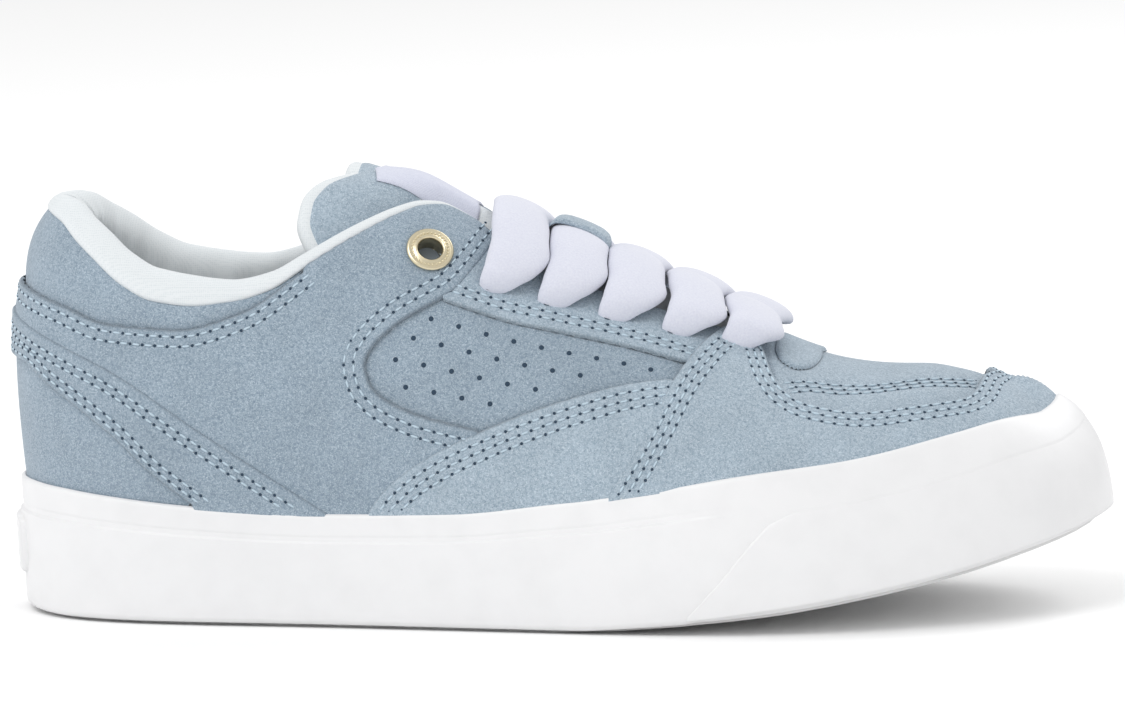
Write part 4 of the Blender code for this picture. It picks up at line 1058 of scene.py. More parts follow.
@dataclass
class Panel:
    """A suede panel laid over the shell."""

    name: str
    edges: Sequence[Edge]
    thick: float
    finish: Finish
    slot: str
    folded: bool = False
    roll: float = 0.0010
    grid: float = 0.0021
    step: float = 0.0011
    # Millimetres in a row and in a whole wall, so that flat distances come near the real ones
    scale: tuple[float, float] = (22.0, 95.0)
    # Wall shares: a stitch row this near the side band runs on to this far over it
    near_band: float = 0.06
    over_band: float = 0.012
    stitches: list[StitchLine] = field(default_factory=list)

    def place(self, flat: np.ndarray) -> tuple[np.ndarray, np.ndarray]:
        """Row and wall of places in the panel's own plane.

        Args:
            flat: places in the panel's plane.

        Returns:
            Rows and wall shares.
        """
        if not self.folded:
            return flat[:, 0], np.minimum(flat[:, 1], 1.0)
        over = flat[:, 1] > 1.0
        return (np.where(over, LOOP - flat[:, 0], flat[:, 0]),
                np.where(over, 2.0 - flat[:, 1], flat[:, 1]))

    def unfold(self, line: np.ndarray) -> np.ndarray:
        """Places of the last put into the panel's own plane.

        Args:
            line: rows and wall shares.

        Returns:
            Places in the panel's plane.
        """
        if not self.folded:
            return line
        far = line[:, 0] > TOE
        return np.stack([np.where(far, LOOP - line[:, 0], line[:, 0]),
                         np.where(far, 2.0 - line[:, 1], line[:, 1])], -1)

    def build(self) -> bpy.types.Object:
        """Make the panel: outline, rolled edge, pressed stitch rows and a fine inside.

        Returns:
            The dressed piece.
        """
        lines = [LAST.sample(edge.table, self.step) for edge in self.edges]
        joined = np.concatenate([self.unfold(line) for line in lines])
        flat = joined * self.scale
        area = np.sum(flat[:, 0] * np.roll(flat[:, 1], -1) - np.roll(flat[:, 0], -1) * flat[:, 1])
        sense = 1.0 if area > 0 else -1.0
        outline, rings, rim = [], [], []
        level = GAP + self.thick
        for edge, line in zip(self.edges, lines):
            if edge.kind is EdgeKind.TUCKED:
                line = LAST.sideways(line, -sense * 0.0013)
            outline.append(line if edge.kind is EdgeKind.SEAM else line[1:-1])
            if edge.kind is EdgeKind.ROLLED:
                fine = LAST.sample(edge.table, 0.0004)
                rim.append(LAST.at(fine[:, 0], fine[:, 1]))
                for share in (0.12, 0.40, 0.90):
                    rings.append(LAST.sideways(line, sense * share * self.roll))
            for away in edge.rows:
                middle = self.run_to_band(LAST.sideways(line, sense * away * MM))
                self.stitches.append(StitchLine(middle, level))
                for side in (-0.75, 0.0, 0.75):
                    rings.append(LAST.sideways(middle, side * MM)[::2])
        shape = np.concatenate([self.unfold(line) for line in outline]) * self.scale
        spots = self.fill(shape)
        if rings:
            extra = np.concatenate([self.unfold(ring) for ring in rings]) * self.scale
            extra = extra[inside(shape, extra)]
            close = nearest(np.pad(extra, ((0, 0), (0, 1))), np.pad(spots, ((0, 0), (0, 1))))
            spots = np.concatenate([spots[close > 0.9], extra])
        places, faces = triangulate(shape, spots)
        s, v = self.place(places / self.scale)
        bare = LAST.at(s, v)
        away = nearest(np.concatenate(rim), bare) if rim else np.full(len(s), 1.0)
        lift = -0.0003 + (level + 0.0003) * quarter_round(away, self.roll)
        if self.stitches:
            sewn = np.concatenate([LAST.at(line.places[:, 0], np.minimum(line.places[:, 1], 1.0))
                                   for line in self.stitches])
            lift = lift - 0.00038 * np.exp(-(nearest(sewn, bare) / 0.0008) ** 2)
        points = LAST.at(s, v, lift)
        for row in (METAL_EYELET[0], LOOP - METAL_EYELET[0]):
            hole = LAST.at(row, METAL_EYELET[1], level)
            faces = [face for face in faces
                     if np.linalg.norm(points[list(face)].mean(axis=0) - hole) > 0.0044]
        cut = away / MM + (1.0 if self.folded else 0.0)
        item = make_object(self.name + "_suede", points, faces,
                           [self.finish.material()], values={"edge": cut})
        weld(item)
        return dress(item, self.slot, self.name)

    def run_to_band(self, line: np.ndarray) -> np.ndarray:
        """A stitch row made to end exactly at the side band, where it comes near it.

        Args:
            line: rows and wall shares of the stitch row.

        Returns:
            The row, ending just over the band.
        """
        band = LAST.foxing_wall(outer_row(line[[0, -1], 0]))
        steps = np.arange(1, 7)[:, None]
        if line[0, 1] - band[0] < self.near_band:
            line = np.concatenate([(line[0] - (line[1] - line[0]) * steps)[::-1], line])
        if line[-1, 1] - band[1] < self.near_band:
            line = np.concatenate([line, line[-1] + (line[-1] - line[-2]) * steps])
        return line[line[:, 1] > LAST.foxing_wall(outer_row(line[:, 0])) + self.over_band]

    def fill(self, shape: np.ndarray) -> np.ndarray:
        """Even places inside a flat outline, clear of its edge.

        Args:
            shape: the outline's flat corners.

        Returns:
            The places.
        """
        low, high = shape.min(0), shape.max(0)
        pitch = self.grid / MM
        rows = np.arange(low[1], high[1], pitch * 0.87)
        spots = np.concatenate([np.stack([np.arange(low[0] + (k % 2) * pitch / 2, high[0], pitch),
                                          np.full(len(np.arange(low[0] + (k % 2) * pitch / 2,
                                                                high[0], pitch)), y)], -1)
                                for k, y in enumerate(rows)])
        spots = spots[inside(shape, spots)]
        away = nearest(np.pad(shape, ((0, 0), (0, 1))), np.pad(spots, ((0, 0), (0, 1))))
        return spots[away > 0.8]


@dataclass
class Upper:
    """Shell, panels over it and their stitch rows."""

    stitches: list[StitchLine] = field(default_factory=list)

    def opening(self, s: np.ndarray) -> np.ndarray:
        """Wall share where the shell ends."""
        row = outer_row(s)
        return np.where(row < COLLAR_SEAM[-1][0], np.minimum(LAST.seam_wall(row), 1.0), 1.0)

    def build_shell(self) -> bpy.types.Object:
        """Outer skin and lining of the shell, with the sewn toe rows pressed in.

        Returns:
            The dressed piece.
        """
        fine = np.linspace(0, LOOP, 26 * 18, endpoint=False)
        rows = np.unique(np.concatenate([fine, [8.26, 8.3, LOOP - 8.26, LOOP - 8.3]]))
        share = np.linspace(0.0, 1.0, 62)
        s, t = np.meshgrid(rows, share, indexing="ij")
        v = t * self.opening(s)
        base = LAST.sample(TOE_ROWS, 0.0012)
        lines = []
        for away in (-1.9, 0.0, 1.9):
            for mirror in (False, True):
                line = LAST.sideways(base[:-1], away * MM)
                if mirror:
                    line = np.stack([LOOP - line[:, 0], line[:, 1]], -1)
                lines.append(StitchLine(line, 0.0))
        self.stitches += lines
        sewn = np.concatenate([LAST.at(line.places[:, 0], line.places[:, 1]) for line in lines])
        bare = LAST.at(s, v).reshape(-1, 3)
        press = 0.0005 * np.exp(-(nearest(sewn, bare) / 0.0010) ** 2)
        outer = LAST.at(s, v, -press.reshape(s.shape))
        inner = LAST.at(s, v, -SHELL)
        count = outer.shape[0] * outer.shape[1]
        faces = grid_faces(*s.shape, wrap_rows=True)
        rim = np.arange(len(rows)) * s.shape[1] + s.shape[1] - 1
        after = np.roll(rim, -1)
        edge = np.stack([rim, after, after + count, rim + count], -1)
        all_faces = np.concatenate([faces, faces[:, ::-1] + count, edge])
        vamp = 2 * (outer_row(s.reshape(-1)[faces]).mean(axis=1) > 8.3)
        slots = np.concatenate([vamp, np.ones(len(faces) + len(edge))])
        hole = LAST.bare(*METAL_EYELET) + LAST.shift
        twin = LAST.bare(LOOP - METAL_EYELET[0], METAL_EYELET[1]) + LAST.shift
        points = np.concatenate([outer.reshape(-1, 3), inner.reshape(-1, 3)])
        centre = points[all_faces].mean(axis=1)
        keep = (np.linalg.norm(centre - hole, axis=1) > 0.0046) & (
            np.linalg.norm(centre - twin, axis=1) > 0.0046)
        item = make_object("shell_suede", points, all_faces[keep],
                           [Finish.SUEDE.material(), Finish.LINING.material(),
                            Finish.SUEDE_PALE.material()], slots[keep],
                           values={"edge": np.full(len(points), 9.0)})
        weld(item)
        return dress(item, "suede", "upper")

    def panels(self) -> list[Panel]:
        """Every panel over the shell, from the heel forwards.

        Returns:
            The panels, not yet built.
        """
        rolled, tucked, seam = EdgeKind.ROLLED, EdgeKind.TUCKED, EdgeKind.SEAM
        front = list(QUARTER_FRONT) + list(WINDOW_FRONT[1:])
        quarter = [Edge(back(between(QUARTER_TOP, 0.0, 4.12)), rolled, (1.8, 4.3)),
                   Edge([(0.0, 0.556), (0.0, 0.492)], seam),
                   Edge(between(STRAP_TOP, 0.0, 4.35), tucked),
                   Edge(between(FOXING_TOP, 4.35, 4.64), tucked),
                   Edge(SIDE_PANEL_REAR, tucked), Edge(back(front), rolled, (3.0, 5.5)),
                   Edge(between(COLLAR_SEAM, 5.87, 4.12), rolled)]
        eyestay = [Edge(between(COLLAR_SEAM, 5.87, 7.86), rolled),
                   Edge(back(between(MUDGUARD_REAR, 7.43, 7.86)), tucked),
                   Edge(back(WINDOW_TOP), rolled, (3.1, 5.1)),
                   Edge(back(QUARTER_FRONT), tucked)]
        top = list(SIDE_PANEL_REAR) + list(SIDE_PANEL_TOP[1:])
        side = [Edge(between(FOXING_TOP, 4.64, 6.63), tucked),
                Edge(between(MUDGUARD_REAR, 6.63, 7.30), tucked),
                Edge(back(top), rolled, (2.7, 4.9, 7.1))]
        made = []
        for name, edges, thick, finish, slot in (
                ("eyestay", eyestay, 0.0011, Finish.SUEDE_PALE, "suede_pale"),
                ("quarter", quarter, 0.0015, Finish.SUEDE, "suede"),
                ("side_panel", side, 0.0021, Finish.SUEDE_PALE, "suede")):
            made.append(Panel(name + "_outer", edges, thick, finish, slot))
            other = [Edge(mirrored(edge.table), edge.kind, edge.rows) for edge in edges]
            made.append(Panel(name + "_inner", other, thick, finish, slot))
        made.append(Panel("heel_counter", [
            Edge(across_heel(between(FOXING_TOP, 0.0, 3.17)), tucked),
            Edge(back(across_heel(between(STRAP_LOW, 0.0, 3.17))), tucked)],
            0.0009, Finish.SUEDE, "suede"))
        foot = between(FOXING_TOP, 3.17, 4.35)
        made.append(Panel("heel_strap", [
            Edge(across_heel(between(STRAP_LOW, 0.0, 3.17)), rolled, (2.0, 3.9)),
            Edge(foot, tucked), Edge(back(across_heel(between(STRAP_TOP, 0.0, 4.35))), rolled,
                                     (3.5, 5.4)),
            Edge([(-row, wall) for row, wall in back(foot)], tucked)],
            0.0023, Finish.SUEDE, "suede"))
        foot = between(FOXING_TOP, 6.63, 13.0)
        throat = between(COLLAR_SEAM, 7.86, 8.10)
        rear = (2.7, 4.7, 6.7)
        made.append(Panel("mudguard", [
            Edge(foot + back(mirrored(foot))[1:], tucked), Edge(mirrored(MUDGUARD_REAR), rolled, rear),
            Edge(mirrored(throat), rolled), Edge(mirrored(MUDGUARD_INNER), rolled, (1.5, 3.5, 5.5)),
            Edge([(LOOP - 11.5, 1.0), (11.5, 1.0)], seam),
            Edge(back(MUDGUARD_INNER), rolled, (1.5, 3.5, 5.5)), Edge(back(throat), rolled),
            Edge(back(MUDGUARD_REAR), rolled, rear)], 0.0024, Finish.SUEDE_PALE, "suede_pale"))
        made.append(Panel("throat_tab", [Edge(TAB_EDGE), Edge(mirrored(back(TAB_EDGE)))],
                          0.0009, Finish.SUEDE_PALE, "suede_pale", folded=True, roll=0.0012,
                          grid=0.0010, step=0.0006))
        return made

    def build(self) -> None:
        """Build the shell and its panels."""
        self.build_shell()
        for panel in self.panels():
            panel.build()
            self.stitches += panel.stitches


# Padding

@dataclass
class Collar:
    """Foam roll in knit mesh round the collar, running down inside the shell."""

    start: float = -5.7
    end: float = 5.7
    stations: int = 360
    round_steps: int = 36

    def build(self) -> bpy.types.Object:
        """Sweep the roll's section round the heel, with soft folds on its inner side.

        Returns:
            The dressed piece.
        """
        measures = {name: Curve([(row[0], row[k] * MM) for row in PADDING])
                    for k, name in enumerate(PADDING_COLUMNS) if k}
        rows = np.linspace(self.start, self.end, self.stations)
        rings = []
        for s in rows:
            row = abs(s)
            roll = float(measures["roll"](row))
            thick = float(measures["thick"](row))
            depth = float(measures["depth"](row))
            wall = float(LAST.seam_wall(row))
            reach = float(np.linalg.norm(LAST.bare(s, wall) - LAST.bare(s, wall - 0.01))) / 0.01
            inner = SHELL + 0.0004
            shape = np.array(((0.0002, -0.0006), (0.0006, 0.45 * roll),
                              (-0.16 * thick, 0.90 * roll), (-0.40 * thick, 1.03 * roll),
                              (-0.70 * thick, 0.88 * roll), (-0.94 * thick, 0.38 * roll),
                              (-thick, -0.20 * depth), (-0.86 * thick, -0.60 * depth),
                              (-inner - 0.0006, -depth), (-inner, -depth),
                              (-inner, -0.5 * depth), (-inner, -0.0006)))
            curve = LoopCurve(shape)
            ring = curve(np.linspace(0, len(shape), self.round_steps, endpoint=False))
            fold = 0.00025 * math.sin(s * 9.0) + 0.00018 * math.sin(s * 21.0 + 1.0)
            ring[:, 0] -= fold * smooth_share(-ring[:, 0], 0.3 * thick, 0.8 * thick) * min(
                1.0, thick / 0.008)
            out, up = ring[:, 0], ring[:, 1]
            rings.append(LAST.at(np.full(len(ring), s), np.minimum(wall + up / reach, 1.0), out,
                                 soft=0.0))
        points = np.array(rings)
        count, size = points.shape[:2]
        faces = [list(face) for face in grid_faces(count, size, wrap_columns=True)]
        faces.append(list(range(size)))
        faces.append([(count - 1) * size + k for k in reversed(range(size))])
        item = make_object("collar_knit", points.reshape(-1, 3), faces,
                           [Finish.LINING.material()])
        flip_if_inward(item)
        return dress(item, "lining", "collar_padding")


def flip_if_inward(item: bpy.types.Object) -> None:
    """Turn a closed mesh's faces outwards.

    Args:
        item: object to turn.
    """
    work = bmesh.new()
    work.from_mesh(item.data)
    bmesh.ops.recalc_face_normals(work, faces=work.faces)
    work.to_mesh(item.data)
    work.free()
    item.data.shade_smooth()


def tongue_rim(row: np.ndarray) -> np.ndarray:
    """Wall share of the edge that the tongue comes out from under."""
    return np.minimum(LAST.seam_wall(np.minimum(row, 8.3)), 0.90)


def tongue_sag(s: np.ndarray, v: np.ndarray) -> np.ndarray:
    """How far the flat top of the tongue lies below the arch of the last, with its far lobe.

    Args:
        s: rows on the last.
        v: wall shares.

    Returns:
        Depths in metres.
    """
    row = outer_row(s)
    inner = np.asarray(s, float) % LOOP > TOE
    low = TONGUE_SAG * np.where(inner, smooth_share(v, 0.86, 1.0), smooth_share(v, 0.84, 1.0))
    clear = smooth_share(v, tongue_rim(row) + 0.03, tongue_rim(row) + 0.09)
    lobe = TONGUE_LOBE * smooth_share(v, 0.70, 0.84) * (1 - smooth_share(v, 0.88, 1.0)) * clear
    return (low - np.where(inner, lobe, 0.0)) * (1 - smooth_share(row, 4.4, 5.35))


def tongue_height(s: np.ndarray, v: np.ndarray) -> np.ndarray:
    """How far the tongue's outer face lies outside the last: deep under the eyestays.

    Args:
        s: rows on the last.
        v: wall shares.

    Returns:
        Heights in metres.
    """
    s, v = np.broadcast_arrays(np.asarray(s, float), np.asarray(v, float))
    row = outer_row(s)
    rim = tongue_rim(row)
    swell = smooth_share((v - rim - 0.02) / (0.95 - rim), 0.0, 1.0)
    fade = smooth_share(8.12 - row, 0.0, 0.5)
    top = 0.0004 - 0.0006 * np.clip((row - 5.2) / 0.8, 0.0, 1.0)
    deep = -0.0054 + 0.0024 * np.clip((row - 7.4) / 0.6, 0.0, 1.0)
    return deep + (top - deep) * swell * fade - tongue_sag(s, v)


@dataclass
class Tongue:
    """Padded tongue with a suede face, its blank woven label and the lace keeper."""

    thick: float = 0.0058
    binding: float = 0.0036

    def build_pad(self) -> bpy.types.Object:
        """The tongue as one padded form: suede over the face, knit round the edge and behind.

        Returns:
            The dressed piece.
        """
        halves = [Edge(back(TONGUE_TOP_OUTER)), Edge(TONGUE_SIDE),
                  Edge([(8.62, 0.84), (8.62, 0.999)]),
                  Edge(mirrored([(8.62, 0.999), (8.62, 0.84)])),
                  Edge(mirrored(back(TONGUE_SIDE))), Edge(mirrored(TONGUE_TOP_INNER))]
        panel = Panel("tongue", halves, 0.0, Finish.SUEDE_PALE, "suede_pale", folded=True)
        scale = np.array([22.0, 95.0])
        sampled = [LAST.sample(edge.table, 0.0010) for edge in halves]
        lines = [panel.unfold(line)[:-1] for line in sampled]
        shape = np.concatenate(lines) * scale
        area = np.sum(shape[:, 0] * np.roll(shape[:, 1], -1) - np.roll(shape[:, 0], -1)
                      * shape[:, 1])
        sense = 1.0 if area > 0 else -1.0
        fine = np.concatenate([panel.unfold(LAST.sample(edge.table, 0.0004)) for edge in halves])
        s, v = panel.place(fine)
        rim = LAST.at(s, v, -0.002)
        rings = [panel.unfold(LAST.sideways(line, sense * away))
                 for line in (sampled[0], sampled[1], sampled[4], sampled[5])
                 for away in (0.0003, 0.0010, 0.0019, self.binding - 0.0004, self.binding,
                              self.binding + 0.0004, 0.0042)]
        rings = np.concatenate(rings) * scale
        rings = rings[inside(shape, rings)]
        spots = panel.fill(shape)
        close = nearest(np.pad(rings, ((0, 0), (0, 1))), np.pad(spots, ((0, 0), (0, 1))))
        places, faces = triangulate(shape, np.concatenate([spots[close > 0.9], rings]))
        s, v = panel.place(places / scale)
        top_level = tongue_height(s, v)
        bare = LAST.at(s, v, -0.002)
        away = nearest(rim, bare)
        flat_away = nearest(np.pad(shape, ((0, 0), (0, 1))),
                            np.pad(places, ((0, 0), (0, 1))))
        away = np.where(flat_away < 1e-4, 0.0, away)
        thin = 1 - 0.55 * smooth_share(outer_row(s), 7.8, 8.6)
        half = 0.5 * self.thick * thin * quarter_round(away, 0.0042)
        groove = 0.0005 * np.exp(-((away - self.binding) / 0.0007) ** 2)
        middle = top_level - 0.5 * self.thick * thin
        over = LAST.at(s, v, middle + half - groove * (away > 1e-6))
        under = LAST.at(s, v, middle - half)
        count = len(s)
        rim_face = [np.mean(away[list(face)]) > self.binding for face in faces]
        all_faces = faces + [[count + k for k in reversed(face)] for face in faces]
        mesh_from = 5.22
        ahead = [np.mean(outer_row(s[list(face)])) > mesh_from for face in faces]
        slots = [0 if deep and not far else 1 for deep, far in zip(rim_face, ahead)]
        slots += [1] * len(faces)
        item = make_object("tongue_pad", np.concatenate([over, under]), all_faces,
                           [Finish.SUEDE_PALE.material(), Finish.LINING.material()], slots,
                           values={"edge": np.full(2 * count, 9.0)})
        weld(item, 1e-5)
        return dress(item, "suede_pale", "tongue")

    def build_band(self, name: str, rows: np.ndarray, half: Callable[[float], float],
                   middle: Callable[[float], float],
                   low: Callable[[np.ndarray, np.ndarray], np.ndarray], thick: float,
                   finish: Finish) -> bpy.types.Object:
        """Strip across the ridge, closed all round.

        Args:
            name: the object's name.
            rows: row of each station along the foot.
            half: half width, as a share of the wall, per station.
            middle: how far the strip's rows move per share of wall.
            low: height of its underside.
            thick: its thickness.
            finish: its finish.

        Returns:
            The strip.
        """
        steps = np.linspace(-1.0, 1.0, 25)
        grid_s, grid_v, u_map, v_map = [], [], [], []
        for row in rows:
            u = steps * half(row)
            s = row - middle(1.0) * np.abs(u)
            grid_s.append(np.where(u > 0, LOOP - s, s))
            grid_v.append(1.0 - np.abs(u))
            u_map.append(u * 0.095)
            v_map.append(np.full(len(u), row * 0.028))
        s, v = np.array(grid_s), np.array(grid_v)
        rim = np.minimum(1 - np.abs(steps)[None, :], 9.0) * half(rows[0]) * 0.095
        end = np.minimum(np.arange(len(rows)), np.arange(len(rows))[::-1])[:, None] * 0.0007
        soft = 0.35 + 0.65 * quarter_round(np.minimum(rim, end), 0.0008)
        base = low(s, v)
        over = LAST.at(s, v, base + thick * soft, soft=0.0).reshape(-1, 3)
        under = LAST.at(s, v, base, soft=0.0).reshape(-1, 3)
        count = len(over)
        faces = grid_faces(*s.shape)
        ring = [k for k in range(s.shape[1])]
        ring += [k * s.shape[1] + s.shape[1] - 1 for k in range(1, s.shape[0])]
        ring += [count - 1 - k for k in range(1, s.shape[1])]
        ring += [k * s.shape[1] for k in range(s.shape[0] - 2, 0, -1)]
        wall = [[b, a, a + count, b + count] for a, b in zip(ring, ring[1:] + ring[:1])]
        all_faces = [list(f) for f in faces] + [[count + k for k in f[::-1]] for f in faces] + wall
        uv = np.stack([np.array(u_map).ravel(), np.array(v_map).ravel()], -1)
        uv = np.concatenate([uv, uv])
        corners = np.concatenate([uv[face] for face in all_faces])
        item = make_object(name, np.concatenate([over, under]), all_faces, [finish.material()],
                           corners=corners, values={"edge": np.full(2 * count, 9.0)})
        flip_if_inward(item)
        return item

    def build_label(self) -> bpy.types.Object:
        """Blank woven strip down the middle of the tongue.

        Returns:
            The dressed piece.
        """
        rows = np.linspace(4.76, 5.74, 40)
        item = self.build_band("label_strip", rows, lambda row: 0.082, lambda wall: 0.0,
                               lambda s, v: tongue_height(s, v) + 0.0002, 0.0006, Finish.LABEL)
        return dress(item, "webbing", "tongue_label")

    def build_keeper(self) -> bpy.types.Object:
        """Suede loop that stands over the second lace bar.

        Returns:
            The dressed piece.
        """
        hole_row, hole_wall, cross = LACE_ROWS[1]
        lean = (cross - hole_row) / (1.0 - hole_wall)
        half = 0.277
        shares = np.array([-1.0, -0.93, -0.75, -0.45, 0.0, 0.45, 0.75, 0.93, 1.0])
        rise = (0.0002, 0.0042, 0.0059, 0.0066, 0.0068, 0.0066, 0.0059, 0.0042, 0.0002)
        arch = Curve(list(zip(half * shares, rise)))
        rows = cross + half * np.sin(np.linspace(-math.pi / 2, math.pi / 2, 44))

        def low(s: np.ndarray, v: np.ndarray) -> np.ndarray:
            """Height of the loop's inside over the last."""
            return arch(outer_row(s) - cross + lean * (1.0 - v))

        item = self.build_band("keeper_loop", rows, lambda row: 0.05, lambda wall: lean, low,
                               0.0013, Finish.SUEDE_PALE)
        return dress(item, "suede_pale", "lace_keeper")

    def build(self) -> None:
        """Build the pad, the label and the keeper."""
        self.build_pad()
        self.build_label()
        self.build_keeper()


# Laces and eyelets

@dataclass
class Laces:
    """Fat brushed lace in five bars, each end turned down into its hole."""

    width: float = 0.0158
    thick: float = 0.0062
    stations: int = 84
    sides: int = 32
    taper: float = 0.0125

    def build_bar(self, number: int, row: float, wall: float, cross: float) -> bpy.types.Object:
        """One bar from hole to hole.

        Args:
            number: bar number from the collar down.
            row: row of its holes.
            wall: wall share of its holes.
            cross: row where it crosses the ridge.

        Returns:
            The bar.
        """
        t = np.linspace(-1.0, 1.0, self.stations)
        share = 1.0 - np.abs(t)
        sway = Curve(((0.0, 0.0), (0.14, 0.72), (0.34, 1.0), (0.56, 0.62), (1.0, 0.0)))
        straight = row + (cross - row) * share
        s = straight + LACE_SWAY * sway(share)
        v = wall + (1.0 - wall) * share
        s = np.where(t > 0, LOOP - s, s)
        straight = np.where(t > 0, LOOP - straight, straight)
        rest = LACE_REST[number - 1]
        base = LAST.at(straight, v, 0.0, soft=0.0)
        run = np.concatenate([[0.0], np.cumsum(np.linalg.norm(np.diff(base, axis=0), axis=1))])
        tip = np.minimum(run, run[-1] - run)
        wide = self.width * (0.14 + 0.86 * quarter_round(tip, self.taper))
        body = self.thick * (0.25 + 0.75 * quarter_round(tip, 0.0065))
        lift = rest + 0.42 * body
        lift = lift + (0.0034 - lift) * share**2
        dip = 0.0030 * (1 - smooth_share(tip, 0.0, 0.0035))
        lift = lift - dip
        centre = LAST.at(s, v, lift, soft=0.0)
        normal = LAST.normal(s, v)
        forward = (LAST.bare(s + 1e-3, v) - LAST.bare(s - 1e-3, v)) * np.where(
            t > 0, -1.0, 1.0)[:, None]
        side = unit(forward - normal * np.sum(forward * normal, -1, keepdims=True))
        out = normal
        angle = math.tau * (np.arange(self.sides) + 0.5) / self.sides
        x = np.sign(np.cos(angle)) * np.abs(np.cos(angle)) ** 0.94
        y = np.sign(np.sin(angle)) * np.abs(np.sin(angle)) ** 0.94
        y = np.where(y < 0, 0.70 * y, y)
        rng = np.random.default_rng(40 + number)
        waves = sum(rng.uniform(0.3, 1.0) * np.sin(np.outer(run / 0.006 * k, np.ones(self.sides))
                                                   + angle[None, :] * (k + 1)
                                                   + rng.uniform(0, 6.3)) for k in (1, 2, 3))
        puff = 1.0 + 0.007 * waves
        points = (centre[:, None, :]
                  + side[:, None, :] * (0.5 * wide[:, None] * x[None, :] * puff)[..., None]
                  + out[:, None, :] * (0.5 * body[:, None] * y[None, :] * puff)[..., None])
        count = len(points)
        faces = grid_faces(count, self.sides, wrap_columns=True)
        u = np.tile((np.arange(self.sides) / self.sides * 2 * self.width)[None, :], (count, 1))
        w = np.tile(run[:, None], (1, self.sides))
        corners = grid_corners(u, w, True)
        caps = [list(range(self.sides)),
                [(count - 1) * self.sides + k for k in reversed(range(self.sides))]]
        corners = np.concatenate([corners, np.zeros((2 * self.sides, 2))])
        item = make_object("lace_%d" % number, points.reshape(-1, 3),
                           [list(face) for face in faces] + caps, [Finish.LACE.material()],
                           corners=corners)
        flip_if_inward(item)
        return dress(item, "webbing", "lace_bar_%d" % number)

    def build(self) -> None:
        """Build every bar."""
        for number, (row, wall, cross) in enumerate(LACE_ROWS, start=1):
            self.build_bar(number, row, wall, cross)


